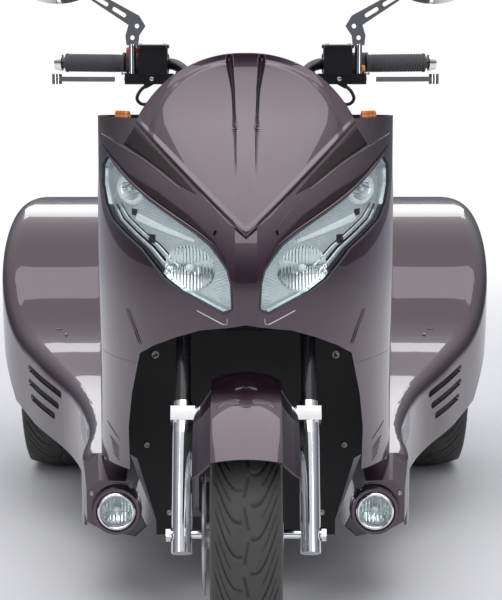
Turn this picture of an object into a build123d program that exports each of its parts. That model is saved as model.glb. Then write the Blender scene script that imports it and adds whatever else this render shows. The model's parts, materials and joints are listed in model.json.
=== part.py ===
from build123d import *
import math
import os

# Motor trike: one steered front wheel under a nose fairing, two rear wheels under a wide tail body
# Millimetres, +Z up, the nose faces -Y and the rider's left is +X
# The origin is on the ground, midway along the length; places along Y are given from the front axle

os.makedirs("parts", exist_ok=True)

# Overall layout
overall_length = 2260.0
wheelbase = 1600.0
rear_track = 930.0
seat_clearance = 0.3
panel_gap = 0.5

# Wheels
front_tyre_radius = 236.0
front_tyre_width = 122.0
front_rim_radius = 152.0
rear_tyre_radius = 280.0
rear_tyre_width = 188.0
rear_rim_radius = 178.0
front_spindle_radius = 8.0
rear_spindle_radius = 14.0
running_clearance = 0.08
rim_flange = 8.0
rim_wall = 8.0
bead_share = 0.13
spoke_count = 5
disc_radius = 108.0
disc_thickness = 4.0
disc_x = -74.0

# Steering and fork
rake_deg = 26.0
fork_offset = 40.0
fork_half_spacing = 113.5
fork_leg_radius = 18.5
fork_collar_half = 22.0
fork_tube_radius = 14.0
fork_leg_length = 222.0
fork_leg_foot = 34.0
fork_tube_top = 432.0
steerer_radius = 14.0
head_tube_radius = 26.0
head_tube_low = 520.0
head_tube_high = 670.0

# Handlebar
bar_radius = 11.0
bar_height = 1058.0
bar_clamp_along = 822.0
bar_rise_along = 24.0
bar_half_width = 356.0
grip_inner = 232.0
grip_radius = 17.0

# Fairing
cowl_half_width = 286.0
cowl_rear_y = 420.0
cowl_wall = 4.0
cowl_strip_half = 19.0
cowl_top_z = 957.0
cowl_split_z = 516.0
cowl_bottom_z = 290.0
hood_wall = 5.0
shield_rear_y = 462.0
shield_wall = 4.0

# Floor, tail and seat
floor_z = 330.0
floor_thickness = 6.0
floor_half_width = 229.0
floor_rear_y = 905.0
side_wall = 5.0
tail_half_width = 338.0
tail_front_y = 912.0
tail_rear_y = 2006.0
hinge_half = 112.0
tail_top_z = 690.0
arch_radius = 335.0
seat_half_width = 185.0
seat_front_y = 880.0
seat_rear_y = 1608.0
pan_thickness = 8.0
trunk_front_y = 1745.0
lid_nose = 8.0
plate_bolt_spacing = 170.0
plate_bolt_radius = 3.2
plate_bolt_z = 520.0
rail_radius = 16.0
cross_half = 13.0
rail_half_spacing = 120.0
down_tube_y = 418.0
axle_rail_z = 340.0
bar_sweep = 52.0

front_axle_y = -overall_length / 2 + front_tyre_radius
rear_axle_y = front_axle_y + wheelbase
rake = math.radians(rake_deg)
floor_rail_z = floor_z - floor_thickness - rail_radius - seat_clearance
shield_low_z = floor_z - floor_thickness + seat_clearance
tail_low_z = axle_rail_z + rail_radius + seat_clearance


def at(y_from_axle):
    """Y in the part's frame of a place given from the front axle."""
    return front_axle_y + y_from_axle


def on_fork(x, along):
    """A point on a fork leg's line, `along` millimetres up from the axle."""
    return (x, at(along * math.sin(rake)), front_tyre_radius + along * math.cos(rake))


def on_stem(along):
    """A point on the steering axis, which lies behind the fork legs by the offset."""
    y = along * math.sin(rake) + fork_offset * math.cos(rake)
    z = front_tyre_radius + along * math.cos(rake) - fork_offset * math.sin(rake)
    return (0, at(y), z)


stem_direction = (0, math.sin(rake), math.cos(rake))


def stem_plane(along, origin=None):
    """A plane square to the steering axis, its local Y pointing up the front."""
    return Plane(origin=origin or on_stem(along), x_dir=(1, 0, 0), z_dir=stem_direction)


def across(y):
    """The upright plane across the vehicle at Y, with local X to +X and local Y up."""
    return Plane(origin=(0, y, 0), x_dir=(1, 0, 0), z_dir=(0, -1, 0))


def wheel_plane(y, z, x=0.0):
    """Local X along the axle and local Y upwards from the wheel's centre."""
    return Plane(origin=(x, y, z), x_dir=(1, 0, 0), z_dir=(0, -1, 0))


def save(piece, name):
    """Labels a finished piece and writes it as its own node."""
    piece.label = name
    export_step(piece, f"parts/{name}.step")


def save_pair(piece, name):
    """Writes a right-hand piece and its mirror image as one node of two solids."""
    pair = Compound(children=[*piece.solids(), *mirror(piece, about=Plane.YZ).solids()])
    save(pair, name)


# Wheels: a tyre ring on a cast rim with split spokes
def make_tyre(y, z, x, radius, width, rim_radius, crown_share):
    half = width / 2
    bead = half - bead_share * width
    foot = rim_radius + seat_clearance
    # Columns: half width, radius; from the bead's foot round to the crown's edge
    outline = [
        (bead, foot),
        (bead, foot + rim_flange + seat_clearance),
        (half, rim_radius + 0.45 * (radius - rim_radius)),
        (crown_share * width, radius),
    ]
    with BuildPart() as tyre:
        with BuildSketch(wheel_plane(y, z, x)):
            Polygon(*outline, *[(-a, b) for a, b in reversed(outline)], align=None)
        revolve(axis=Axis((x, y, z), (1, 0, 0)))
    return tyre.part


def make_rim(y, z, x, rim_radius, width, hub_radius, hub_half, bore, well_x, spoke_half):
    """A rolled barrel with a flange at each edge, a hub with a bore, and split spokes at well_x."""
    half = width / 2 - bead_share * width + seat_clearance
    edge = half + 5
    inside = rim_radius - rim_wall
    spoke_end = inside + 2
    side_view = Plane(origin=(x, y, z), x_dir=(0, 1, 0), z_dir=(1, 0, 0))
    with BuildPart() as rim:
        with BuildSketch(wheel_plane(y, z, x)):
            Polygon(
                (-edge, rim_radius + rim_flange), (-half, rim_radius + rim_flange),
                (-half, rim_radius), (half, rim_radius), (half, rim_radius + rim_flange),
                (edge, rim_radius + rim_flange), (edge, inside), (-edge, inside), align=None,
            )
        revolve(axis=Axis((x, y, z), (1, 0, 0)))
        with BuildSketch(side_view.offset(-hub_half)):
            Circle(hub_radius)
        extrude(amount=2 * hub_half)
        with BuildSketch(side_view.offset(well_x)):
            with PolarLocations(0, spoke_count):
                Polygon(
                    (hub_radius * 0.6, -11), (hub_radius * 1.6, -9), (spoke_end, -30),
                    (spoke_end, -18), (hub_radius * 2.1, -2.5), (hub_radius * 2.1, 2.5),
                    (spoke_end, 18), (spoke_end, 30), (hub_radius * 1.6, 9),
                    (hub_radius * 0.6, 11), align=None,
                )
        extrude(amount=spoke_half, both=True)
        with BuildSketch(side_view.offset(-hub_half)):
            Circle(bore)
        extrude(amount=2 * hub_half, mode=Mode.SUBTRACT)
    return rim.part


front_tyre = make_tyre(
    front_axle_y, front_tyre_radius, 0, front_tyre_radius, front_tyre_width, front_rim_radius, 0.3
)
front_rim = make_rim(
    front_axle_y, front_tyre_radius, 0, front_rim_radius, front_tyre_width,
    28, 66, front_spindle_radius + running_clearance, 0, 11,
)
save(front_tyre, "front_tyre")
save(front_rim, "front_rim")

# Brake disc: a ring on a five-arm carrier, fixed to the hub's side
with BuildPart() as front_disc:
    disc_plane = Plane(
        origin=(disc_x, front_axle_y, front_tyre_radius), x_dir=(0, 1, 0), z_dir=(1, 0, 0)
    )
    with BuildSketch(disc_plane):
        Circle(disc_radius)
        Circle(disc_radius - 30, mode=Mode.SUBTRACT)
        with PolarLocations((disc_radius - 20) / 2, 5):
            Rectangle(disc_radius - 20, 15)
        Circle(34)
        Circle(front_spindle_radius + 6, mode=Mode.SUBTRACT)
    extrude(amount=disc_thickness / 2, both=True)
    with BuildSketch(disc_plane.offset(disc_thickness / 2)):
        Circle(24)
        Circle(front_spindle_radius + 6, mode=Mode.SUBTRACT)
    extrude(amount=-disc_x - disc_thickness / 2 - 66 - seat_clearance)
save(front_disc.part, "front_disc")

for side, sign in (("left", 1), ("right", -1)):
    wheel_x = sign * rear_track / 2
    save(
        make_tyre(
            rear_axle_y, rear_tyre_radius, wheel_x,
            rear_tyre_radius, rear_tyre_width, rear_rim_radius, 0.36,
        ),
        f"rear_tyre_{side}",
    )
    save(
        make_rim(
            rear_axle_y, rear_tyre_radius, wheel_x, rear_rim_radius, rear_tyre_width,
            36, 58, rear_spindle_radius + running_clearance, sign * 22, 13,
        ),
        f"rear_rim_{side}",
    )

# Front axle: a shaft through both fork feet, with a head outside each
with BuildPart() as front_axle:
    with BuildSketch(Plane.YZ.offset(-fork_half_spacing - 24)):
        with Locations((front_axle_y, front_tyre_radius)):
            Circle(front_spindle_radius)
    extrude(amount=2 * fork_half_spacing + 48)
    for head_x in (-fork_half_spacing - 28, fork_half_spacing + 20):
        with BuildSketch(Plane.YZ.offset(head_x)):
            with Locations((front_axle_y, front_tyre_radius)):
                RegularPolygon(13, 6)
        extrude(amount=8)
save(front_axle.part, "front_axle")

# Fork: bright lower legs with clamped feet, dark upper tubes, and the crown that joins them
with BuildPart() as fork_leg:
    leg_foot = stem_plane(0, origin=on_fork(fork_half_spacing, -fork_leg_foot))
    with BuildSketch(leg_foot):
        Circle(fork_leg_radius)
    extrude(amount=fork_leg_foot + fork_leg_length * 0.82)
    with BuildSketch(stem_plane(0, origin=on_fork(fork_half_spacing, fork_leg_length * 0.82))):
        Circle(fork_leg_radius)
    with BuildSketch(stem_plane(0, origin=on_fork(fork_half_spacing, fork_leg_length + 20))):
        Circle(fork_tube_radius + 3)
    loft()
    with BuildSketch(stem_plane(0, origin=on_fork(fork_half_spacing, fork_leg_length - 18))):
        Rectangle(2 * fork_collar_half, 38)
    extrude(amount=26)
    with BuildSketch(stem_plane(0, origin=on_fork(fork_half_spacing, 80))):
        Circle(fork_tube_radius + seat_clearance)
    extrude(amount=fork_leg_length, mode=Mode.SUBTRACT)
    with BuildSketch(Plane.YZ.offset(fork_half_spacing - 50)):
        with Locations((front_axle_y, front_tyre_radius)):
            Circle(front_spindle_radius + seat_clearance)
    extrude(amount=100, mode=Mode.SUBTRACT)
save_pair(fork_leg.part, "fork_legs")

clamp_bar_along = bar_clamp_along + bar_rise_along
with BuildPart() as fork_upper:
    crown_low = fork_tube_top - 34
    for sign in (1, -1):
        with BuildSketch(stem_plane(0, origin=on_fork(sign * fork_half_spacing, 110))):
            Circle(fork_tube_radius)
        extrude(amount=fork_tube_top - 110)
    with BuildSketch(stem_plane(crown_low)):
        with BuildLine():
            Polyline(
                (-fork_half_spacing, -fork_offset - 21), (-40, -fork_offset + 4),
                (40, -fork_offset + 4), (fork_half_spacing, -fork_offset - 21),
                (fork_half_spacing + 21, -fork_offset), (fork_half_spacing, -fork_offset + 21),
                (36, 30), (-36, 30), (-fork_half_spacing, -fork_offset + 21),
                (-fork_half_spacing - 21, -fork_offset), close=True,
            )
        make_face()
    extrude(amount=28)
    with BuildSketch(stem_plane(crown_low)):
        Circle(steerer_radius)
    extrude(amount=bar_clamp_along - crown_low)
    with BuildSketch(stem_plane(bar_clamp_along - 8)):
        RectangleRounded(80, 40, 8)
    extrude(amount=8 + bar_rise_along + bar_radius - 3)
    with BuildSketch(Plane.YZ.offset(-60)):
        with Locations(on_stem(clamp_bar_along)[1:]):
            Circle(bar_radius + seat_clearance)
    extrude(amount=120, mode=Mode.SUBTRACT)
save(fork_upper.part, "fork_upper")

# Front fender: a crowned blade with flared skirts, seated on both fork legs
fender_pitch = 281.0
fender_half = fork_half_spacing - fork_collar_half - seat_clearance
with BuildPart() as front_fender:
    with BuildSketch(wheel_plane(front_axle_y, front_tyre_radius)):
        with BuildLine():
            Polyline(
                (-fender_half, fender_pitch - 62),
                (-82, fender_pitch - 48), (-60, fender_pitch - 6),
            )
            ThreePointArc((-60, fender_pitch - 6), (0, fender_pitch + 7), (60, fender_pitch - 6))
            Polyline(
                (60, fender_pitch - 6), (82, fender_pitch - 48),
                (fender_half, fender_pitch - 62),
                (fender_half, fender_pitch - 66),
                (79, fender_pitch - 52), (57, fender_pitch - 10),
            )
            ThreePointArc((57, fender_pitch - 10), (0, fender_pitch + 3), (-57, fender_pitch - 10))
            Polyline(
                (-57, fender_pitch - 10), (-79, fender_pitch - 52),
                (-fender_half, fender_pitch - 66),
                (-fender_half, fender_pitch - 62),
            )
        make_face()
    revolve(axis=Axis((0, front_axle_y, front_tyre_radius), (1, 0, 0)), revolution_arc=-96)
front_fender_part = front_fender.part.rotate(
    Axis((0, front_axle_y, front_tyre_radius), (1, 0, 0)), 50
)
save(front_fender_part, "front_fender")

# Front brake caliper: a forked block that straddles the disc, on a lug from the leg's back
with BuildPart() as front_caliper:
    with BuildSketch(stem_plane(0, origin=on_fork(0, 50))):
        with Locations((-82, 66)):
            RectangleRounded(44, 44, 7)
        with Locations((-96, 28)):
            Rectangle(24, 50)
    extrude(amount=64)
    with BuildSketch(
        Plane(origin=(disc_x, front_axle_y, front_tyre_radius), x_dir=(0, 1, 0), z_dir=(1, 0, 0))
    ):
        Circle(disc_radius + 5)
    extrude(amount=disc_thickness / 2 + 5, both=True, mode=Mode.SUBTRACT)
    with BuildSketch(stem_plane(0, origin=on_fork(-fork_half_spacing, 40))):
        Circle(fork_leg_radius + seat_clearance)
    extrude(amount=90, mode=Mode.SUBTRACT)
save(front_caliper.part, "front_caliper")

# Handlebar: a rising tube, then grips, bar ends, control housings, reservoirs and levers
bar_centre = on_stem(clamp_bar_along)
bar_points = [
    (-bar_half_width, bar_centre[1] + bar_sweep, bar_height),
    (-130, bar_centre[1] + 20, bar_height - 2),
    (-68, bar_centre[1], bar_centre[2]),
    (68, bar_centre[1], bar_centre[2]),
    (130, bar_centre[1] + 20, bar_height - 2),
    (bar_half_width, bar_centre[1] + bar_sweep, bar_height),
]
with BuildPart() as handlebar:
    with BuildLine() as bar_path:
        FilletPolyline(*bar_points, radius=[40, 30, 30, 40])
    bar_start = bar_path.wires()[0]
    with BuildSketch(Plane(origin=bar_start @ 0, z_dir=bar_start % 0)):
        Circle(bar_radius)
    sweep(path=bar_start)
save(handlebar.part, "handlebar")

bar_outer = Vector(*bar_points[-1])
bar_inner = Vector(*bar_points[-2])
bar_run = (bar_outer - bar_inner).normalized()


def on_bar(x):
    """The bar's centre where it passes a given X on its straight outer run."""
    share = (x - bar_inner.X) / (bar_outer.X - bar_inner.X)
    return bar_inner + (bar_outer - bar_inner) * share


def bar_plane(x):
    """A plane square to the bar's outer run, local Y upwards."""
    return Plane(origin=on_bar(x), x_dir=(-bar_run.Y, bar_run.X, 0), z_dir=bar_run)


with BuildPart() as grip:
    with BuildSketch(bar_plane(grip_inner)):
        Circle(grip_radius)
        Circle(bar_radius + seat_clearance, mode=Mode.SUBTRACT)
    extrude(amount=bar_half_width - grip_inner - 6)
    with BuildSketch(bar_plane(grip_inner)):
        Circle(grip_radius + 4)
        Circle(bar_radius + seat_clearance, mode=Mode.SUBTRACT)
    extrude(amount=5)
save_pair(grip.part, "grips")

with BuildPart() as bar_end:
    with BuildSketch(bar_plane(bar_half_width + 0.5)):
        Circle(grip_radius - 1)
    extrude(amount=14, taper=12)
save_pair(bar_end.part, "bar_ends")

with BuildPart() as switch_housing:
    with BuildSketch(bar_plane(grip_inner - 52)):
        RectangleRounded(46, 42, 12)
        Circle(bar_radius + seat_clearance, mode=Mode.SUBTRACT)
    extrude(amount=48)
save_pair(switch_housing.part, "switch_housings")

reservoir_x = 176.0
reservoir_y = on_bar(reservoir_x).Y - 50
mirror_foot = Vector(216, reservoir_y + 4, bar_height + 34)
with BuildPart() as reservoir:
    with BuildSketch(Plane(origin=(reservoir_x, reservoir_y, bar_height - 22))):
        Rectangle(54, 44)
    extrude(amount=50)
    with BuildSketch(Plane(origin=(reservoir_x, reservoir_y, bar_height + 28))):
        RectangleRounded(60, 50, 6)
    extrude(amount=6)
    with BuildSketch(Plane(origin=(reservoir_x + 8, reservoir_y, bar_height - 40))):
        Rectangle(92, 34)
    extrude(amount=20)
    with BuildSketch(bar_plane(reservoir_x - 26)):
        Circle(bar_radius + 9)
        with Locations((-24, -6)):
            Rectangle(48, 26)
        Circle(bar_radius + seat_clearance, mode=Mode.SUBTRACT)
    extrude(amount=24)
save_pair(reservoir.part, "brake_reservoirs")

# Each lever swings on a bolt in its perch and ends in a ball beyond the grip
lever_tip_x = bar_half_width + 6
lever_root_x = reservoir_x + 54 + seat_clearance
with BuildPart() as lever:
    with BuildSketch(Plane.XY.offset(bar_height - 35)):
        with BuildLine():
            Polyline(
                (lever_root_x, reservoir_y - 14), (reservoir_x + 72, reservoir_y - 20),
                (300, reservoir_y - 12), (lever_tip_x, reservoir_y + 12),
                (lever_tip_x, reservoir_y + 22), (296, reservoir_y + 2),
                (reservoir_x + 72, reservoir_y - 3), (lever_root_x, reservoir_y + 12),
                close=True,
            )
        make_face()
    extrude(amount=9)
    with BuildSketch(Plane.XY.offset(bar_height - 40)):
        with Locations((lever_tip_x, reservoir_y + 17)):
            Circle(9.5)
    extrude(amount=19)
save_pair(lever.part, "brake_levers")

# Mirrors: a foot, a slotted blade and a glass housing on its outer end
mirror_bend = Vector(207, mirror_foot.Y, bar_height + 76)
mirror_hub = Vector(312, mirror_foot.Y, bar_height + 140)
mirror_centre = Vector(mirror_hub.X + 46, mirror_foot.Y, mirror_hub.Z + 14)
arm_outline = [
    (mirror_foot.X - 11, mirror_foot.Z), (mirror_foot.X + 11, mirror_foot.Z),
    (mirror_foot.X + 13, mirror_foot.Z + 18), (mirror_bend.X + 16, mirror_bend.Z - 4),
    (mirror_hub.X, mirror_hub.Z - 9), (mirror_hub.X, mirror_hub.Z + 9),
    (mirror_bend.X - 4, mirror_bend.Z + 14), (mirror_bend.X - 16, mirror_bend.Z - 6),
    (mirror_foot.X - 13, mirror_foot.Z + 18),
]
arm_angle = math.degrees(math.atan2(mirror_hub.Z - mirror_bend.Z, mirror_hub.X - mirror_bend.X))
arm_half = 6.0
with BuildPart() as mirror_arm:
    with BuildSketch(across(mirror_foot.Y)):
        with BuildLine():
            Polyline(*arm_outline, close=True)
        make_face()
        with Locations((mirror_foot.X, mirror_foot.Z + 14), (mirror_bend.X, mirror_bend.Z - 6)):
            Circle(4.5, mode=Mode.SUBTRACT)
        for share in (0.3, 0.62):
            slot_at = mirror_bend + (mirror_hub - mirror_bend) * share
            with Locations(Location((slot_at.X + 2, slot_at.Z + 1, 0), (0, 0, arm_angle))):
                SlotOverall(30, 8, mode=Mode.SUBTRACT)
    extrude(amount=arm_half, both=True)
    with BuildSketch(Plane.XY.offset(bar_height + 36)):
        with Locations((mirror_foot.X, mirror_foot.Y)):
            Circle(7)
    extrude(amount=-(56 - seat_clearance))
save_pair(mirror_arm.part, "mirror_arms")


def mirror_outline(scale):
    """The housing's outline: two long arcs and a blunt outer end, scaled about its middle."""
    points = [(-74, -16), (0, -42), (78, -14), (88, 12), (70, 36), (0, 48), (-62, 22)]
    spots = [(mirror_centre.X + scale * px, mirror_centre.Z + scale * pz) for px, pz in points]
    ThreePointArc(spots[0], spots[1], spots[2])
    ThreePointArc(spots[2], spots[3], spots[4])
    ThreePointArc(spots[4], spots[5], spots[6])
    Line(spots[6], spots[0])


glass_recess = 3.0
with BuildPart() as mirror_head:
    for depth, scale in ((14, 1.0), (-16, 0.62)):
        with BuildSketch(across(mirror_foot.Y + depth)):
            with BuildLine():
                mirror_outline(scale)
            make_face()
    loft()
    with BuildSketch(across(mirror_foot.Y + 14)):
        with BuildLine():
            mirror_outline(0.93)
        make_face()
    extrude(amount=glass_recess, mode=Mode.SUBTRACT)
    with BuildSketch(across(mirror_foot.Y)):
        with BuildLine():
            Polyline(*arm_outline, close=True)
        make_face()
        offset(amount=seat_clearance, mode=Mode.REPLACE)
    extrude(amount=arm_half + seat_clearance, both=True, mode=Mode.SUBTRACT)
save_pair(mirror_head.part, "mirror_heads")

with BuildPart() as mirror_glass:
    with BuildSketch(across(mirror_foot.Y + 14 - 0.6)):
        with BuildLine():
            mirror_outline(0.92)
        make_face()
    extrude(amount=glass_recess - 0.6 - seat_clearance)
save_pair(mirror_glass.part, "mirror_glasses")

# Fairing: horizontal sections of one flat centre strip and one arc a side
# Columns: height, how far the nose lies behind the front axle
cowl_sections = [
    (cowl_bottom_z, 150.0),
    (480.0, 45.0),
    (620.0, -22.0),
    (757.0, -14.0),
    (920.0, 135.0),
    (1085.0, 268.0),
]
arc_share_x = 0.52
arc_share_y = 0.225


def cowl_volume(lift, rear_extra, low_z, high_z, straight=False):
    """The space behind the fairing's surface moved forwards by lift, cut to a height band."""
    inward = min(lift, 0)
    half = cowl_half_width + inward
    edge_y = at(cowl_rear_y) - lift + inward
    with BuildPart() as volume:
        for z, nose in cowl_sections:
            nose_y = at(nose) - lift
            mid = (
                cowl_strip_half + arc_share_x * (half - cowl_strip_half),
                nose_y + arc_share_y * (edge_y - nose_y),
            )
            with BuildSketch(Plane.XY.offset(z)):
                with BuildLine():
                    Line((-cowl_strip_half, nose_y), (cowl_strip_half, nose_y))
                    ThreePointArc((cowl_strip_half, nose_y), mid, (half, edge_y))
                    Polyline(
                        (half, edge_y), (half, edge_y + 1 + rear_extra),
                        (-half, edge_y + 1 + rear_extra), (-half, edge_y),
                    )
                    ThreePointArc((-half, edge_y), (-mid[0], mid[1]), (-cowl_strip_half, nose_y))
                make_face()
        loft(ruled=straight)
        with BuildSketch(Plane.XY.offset(low_z - 300)):
            Rectangle(1000, 2 * overall_length)
        extrude(amount=300, mode=Mode.SUBTRACT)
        with BuildSketch(Plane.XY.offset(high_z)):
            Rectangle(1000, 2 * overall_length)
        extrude(amount=600, mode=Mode.SUBTRACT)
    return volume.part


def front_prism(points):
    """A bar with this front outline, running along Y through the whole fairing."""
    with BuildPart() as prism:
        with BuildSketch(across(at(100))):
            with BuildLine():
                Polyline(*points, close=True)
            make_face()
        extrude(amount=500, both=True)
    return prism.part


hood_corner = (205.0, 950.0)
hood_top = (0.0, 1078.0)
hood_tip = (0.0, 765.0)


def hood_prism(inset):
    """The leaf outline of the hood, drawn smaller by inset."""
    with BuildPart() as prism:
        with BuildSketch(across(at(100))):
            with BuildLine():
                corner = (hood_corner[0] - 1.2 * inset, hood_corner[1] + 0.1 * inset)
                top = (0, hood_top[1] - inset)
                tip = (0, hood_tip[1] + 1.3 * inset)
                shoulder = (121 - inset, 1046 - inset)
                ThreePointArc(corner, shoulder, top)
                ThreePointArc(top, (-shoulder[0], shoulder[1]), (-corner[0], corner[1]))
                Polyline((-corner[0], corner[1]), tip, corner)
            make_face()
        extrude(amount=600, both=True)
    return prism.part


headlamp_outline = [
    (259, 890), (273, 868), (273, 834), (263, 799), (248, 772), (218, 750), (187, 729),
    (168, 708), (143, 681), (116, 664), (80, 649), (37, 630), (23, 640), (25, 684),
    (31, 709), (45, 729), (62, 750), (87, 768), (126, 791), (174, 819), (215, 849), (241, 871),
]
nose_arch = [(0, 613), (80, 598), (126, 579), (165, 558), (193, 537), (212, 450), (221, 380), (221, 200)]

cowl_shell = cowl_volume(0, 0, cowl_bottom_z, cowl_top_z) - cowl_volume(
    -cowl_wall, 30, cowl_bottom_z - 50, cowl_top_z + 50
)
arch_prism = front_prism(
    [(x, z) for x, z in nose_arch] + [(-x, z) for x, z in reversed(nose_arch[1:])]
)
upper_shell = cowl_shell - hood_prism(14) - arch_prism
for sign in (1, -1):
    upper_shell = upper_shell - front_prism([(sign * x, z) for x, z in headlamp_outline])
split_box = Box(
    1000, 3000, 1000, align=(Align.CENTER, Align.CENTER, Align.MIN)
).moved(Location((0, 0, cowl_split_z)))
front_cowl = upper_shell & split_box
save(front_cowl.solids().sort_by(SortBy.VOLUME)[-1], "front_cowl")
lower_shell = upper_shell - Box(
    1000, 3000, 1000, align=(Align.CENTER, Align.CENTER, Align.MIN)
).moved(Location((0, 0, cowl_split_z - panel_gap)))
lower_left = [s for s in lower_shell.solids() if s.center().X > 0][0]
save_pair(lower_left, "lower_cowls")

hood = (
    cowl_volume(hood_wall + panel_gap, 0, 700, 1084) - cowl_volume(panel_gap, 40, 650, 1120)
) & hood_prism(0)
save(hood.solids().sort_by(SortBy.VOLUME)[-1], "hood")

# Brow panels: a raised leaf a side between the hood's V and the headlamp
brow_outline = [
    (278, 932), (227, 906), (176, 880), (133, 852), (104, 832), (76, 806), (54, 776), (58, 768),
    (98, 799), (155, 835), (216, 864), (264, 899), (281, 916),
]
brow_band = cowl_volume(hood_wall + panel_gap, 0, 700, 950) - cowl_volume(panel_gap, 40, 650, 960)
brow = brow_band & front_prism(brow_outline)
save_pair(brow.solids().sort_by(SortBy.VOLUME)[-1], "brow_panels")

# Headlamps: a bright tray behind each opening and a clear cover flush with the fairing
with BuildPart() as lamp_inner:
    with BuildSketch(across(at(100))):
        with BuildLine():
            Polyline(*headlamp_outline, close=True)
        make_face()
        offset(amount=-1.0, mode=Mode.REPLACE)
    extrude(amount=500, both=True)
with BuildPart() as lamp_core:
    with BuildSketch(across(at(100))):
        with BuildLine():
            Polyline(*headlamp_outline, close=True)
        make_face()
        offset(amount=-5.0, mode=Mode.REPLACE)
    extrude(amount=500, both=True)
lens_outer = cowl_volume(0, 0, 600, 950)
lens_inner = cowl_volume(-3, 30, 590, 960)
lens = (lens_outer - lens_inner) & lamp_inner.part
save_pair(lens.solids().sort_by(SortBy.VOLUME)[-1], "headlamp_lenses")
tray_front = cowl_volume(-3.4, 0, 600, 950)
tray_back = cowl_volume(-46, 30, 590, 960, True)
tray_floor = cowl_volume(-42, 30, 590, 960, True)
tray = (tray_front - tray_back) & lamp_inner.part
tray = tray - ((tray_front - tray_floor) & lamp_core.part)
save_pair(tray.solids().sort_by(SortBy.VOLUME)[-1], "headlamp_bowls")

# Splash panel: the dark wall behind the front wheel
splash_y = 386.0
with BuildPart() as splash_panel:
    with BuildSketch(Plane.XY.offset(135)):
        with BuildLine():
            ThreePointArc((-250, at(348)), (0, at(splash_y)), (250, at(348)))
            Line((250, at(348)), (250, at(352)))
            ThreePointArc((250, at(352)), (0, at(splash_y + 4)), (-250, at(352)))
            Line((-250, at(352)), (-250, at(348)))
        make_face()
    extrude(amount=470)
splash_shape = splash_panel.part & front_prism(
    [
        (-60, 572), (60, 572), (214, 520), (240, 450), (240, 310), (212, 292), (176, 165),
        (176, 136), (-176, 136), (-176, 165), (-212, 292), (-240, 310), (-240, 450), (-214, 520),
    ]
)
with BuildPart() as splash_bosses:
    with BuildSketch(across(at(down_tube_y - rail_radius - seat_clearance))):
        for z in (340, 470):
            with Locations((rail_half_spacing, z), (-rail_half_spacing, z)):
                Circle(9)
    extrude(amount=23)
splash_shape = splash_shape + splash_bosses.part
save(splash_shape.solids().sort_by(SortBy.VOLUME)[-1], "splash_panel")

# Leg shield: the rider's side of the fairing, with a shelf for the instruments
shield_front = cowl_rear_y + 1 + panel_gap
with BuildPart() as leg_shield:
    with BuildSketch(Plane.XY.offset(shield_low_z)):
        with BuildLine():
            Polyline(
                (-cowl_half_width, at(shield_front)), (-cowl_half_width, at(440)),
                (-250, at(shield_rear_y)), (250, at(shield_rear_y)),
                (cowl_half_width, at(440)), (cowl_half_width, at(shield_front)),
                (cowl_half_width - shield_wall, at(shield_front)),
                (cowl_half_width - shield_wall, at(438)), (248, at(shield_rear_y - shield_wall)),
                (-248, at(shield_rear_y - shield_wall)), (-cowl_half_width + shield_wall, at(438)),
                (-cowl_half_width + shield_wall, at(shield_front)),
                close=True,
            )
        make_face()
    extrude(amount=cowl_top_z - shield_low_z)
    with BuildSketch(Plane.XY.offset(cowl_top_z - 14)):
        with BuildLine():
            Polyline(
                (-282, at(458)), (-282, at(424)), (-208, at(318)), (-150, at(250)), (-60, at(182)),
                (60, at(182)), (150, at(250)), (208, at(318)), (282, at(424)), (282, at(458)),
                close=True,
            )
        make_face()
        with Locations((0, at(400))):
            SlotOverall(200, 84, mode=Mode.SUBTRACT)
    extrude(amount=4)
save(leg_shield.part, "leg_shield")

with BuildPart() as instruments:
    with BuildSketch(Plane.YZ.offset(-92)):
        with BuildLine():
            Polyline(
                (at(290), cowl_top_z - 10 + seat_clearance), (at(345), cowl_top_z - 10 + seat_clearance),
                (at(352), cowl_top_z + 20), (at(332), cowl_top_z + 64), (at(314), cowl_top_z + 58),
                close=True,
            )
        make_face()
    extrude(amount=184)
save(instruments.part, "instruments")

# Floor: a ribbed board on the frame rails, with a low tunnel along its middle
with BuildPart() as floor:
    floor_front_y = shield_rear_y + seat_clearance
    with BuildSketch(Plane.XY.offset(floor_z - floor_thickness)):
        with Locations((0, at((floor_front_y + floor_rear_y) / 2))):
            Rectangle(2 * floor_half_width, floor_rear_y - floor_front_y)
    extrude(amount=floor_thickness)
    with BuildSketch(Plane.XY.offset(floor_z - floor_thickness)):
        for sign in (1, -1):
            for rib in range(6):
                with Locations((sign * (112 + 20 * rib), at(690))):
                    Rectangle(8, 360)
    extrude(amount=floor_thickness + 4)
    for y, half, top in ((floor_front_y, 86, 560), (640, 82, 470), (floor_rear_y, 92, 520)):
        with BuildSketch(across(at(y))):
            with BuildLine():
                Line((-half, floor_z - 1), (-half + 14, top - 40))
                ThreePointArc((-half + 14, top - 40), (0, top), (half - 14, top - 40))
                Polyline((half - 14, top - 40), (half, floor_z - 1), (-half, floor_z - 1))
            make_face()
    loft(ruled=True)
save(floor.part, "floor")

# Side bodies: one moulding a side from the lamp pods along the floor to the rear fenders
# Columns: place, outer X, top Z, roll radius of the top edge
side_sections = [
    (424.0, 322.0, 288.0, 24.0),
    (520.0, 326.0, 302.0, 24.0),
    (620.0, 331.0, 318.0, 24.0),
    (720.0, 352.0, 333.0, 26.0),
    (820.0, 384.0, 350.0, 28.0),
    (910.0, 430.0, 372.0, 31.0),
    (1010.0, 484.0, 400.0, 34.0),
    (1150.0, 550.0, 452.0, 38.0),
    (1300.0, 591.0, 566.0, 44.0),
    (1450.0, 596.0, 654.0, 50.0),
    (1640.0, 596.0, 686.0, 55.0),
    (1850.0, 590.0, 680.0, 55.0),
    (2015.0, 564.0, 650.0, 55.0),
]
side_inner_x = 230.0
# The moulding's lower edge seen from the side; the wheel arch takes over between its raised points
side_lower_edge = [
    (300, 132), (424, 141), (820, 194), (1010, 226), (1130, 258), (1230, 350), (1300, 500),
    (1880, 500), (1925, 340), (2100, 300),
]


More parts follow.
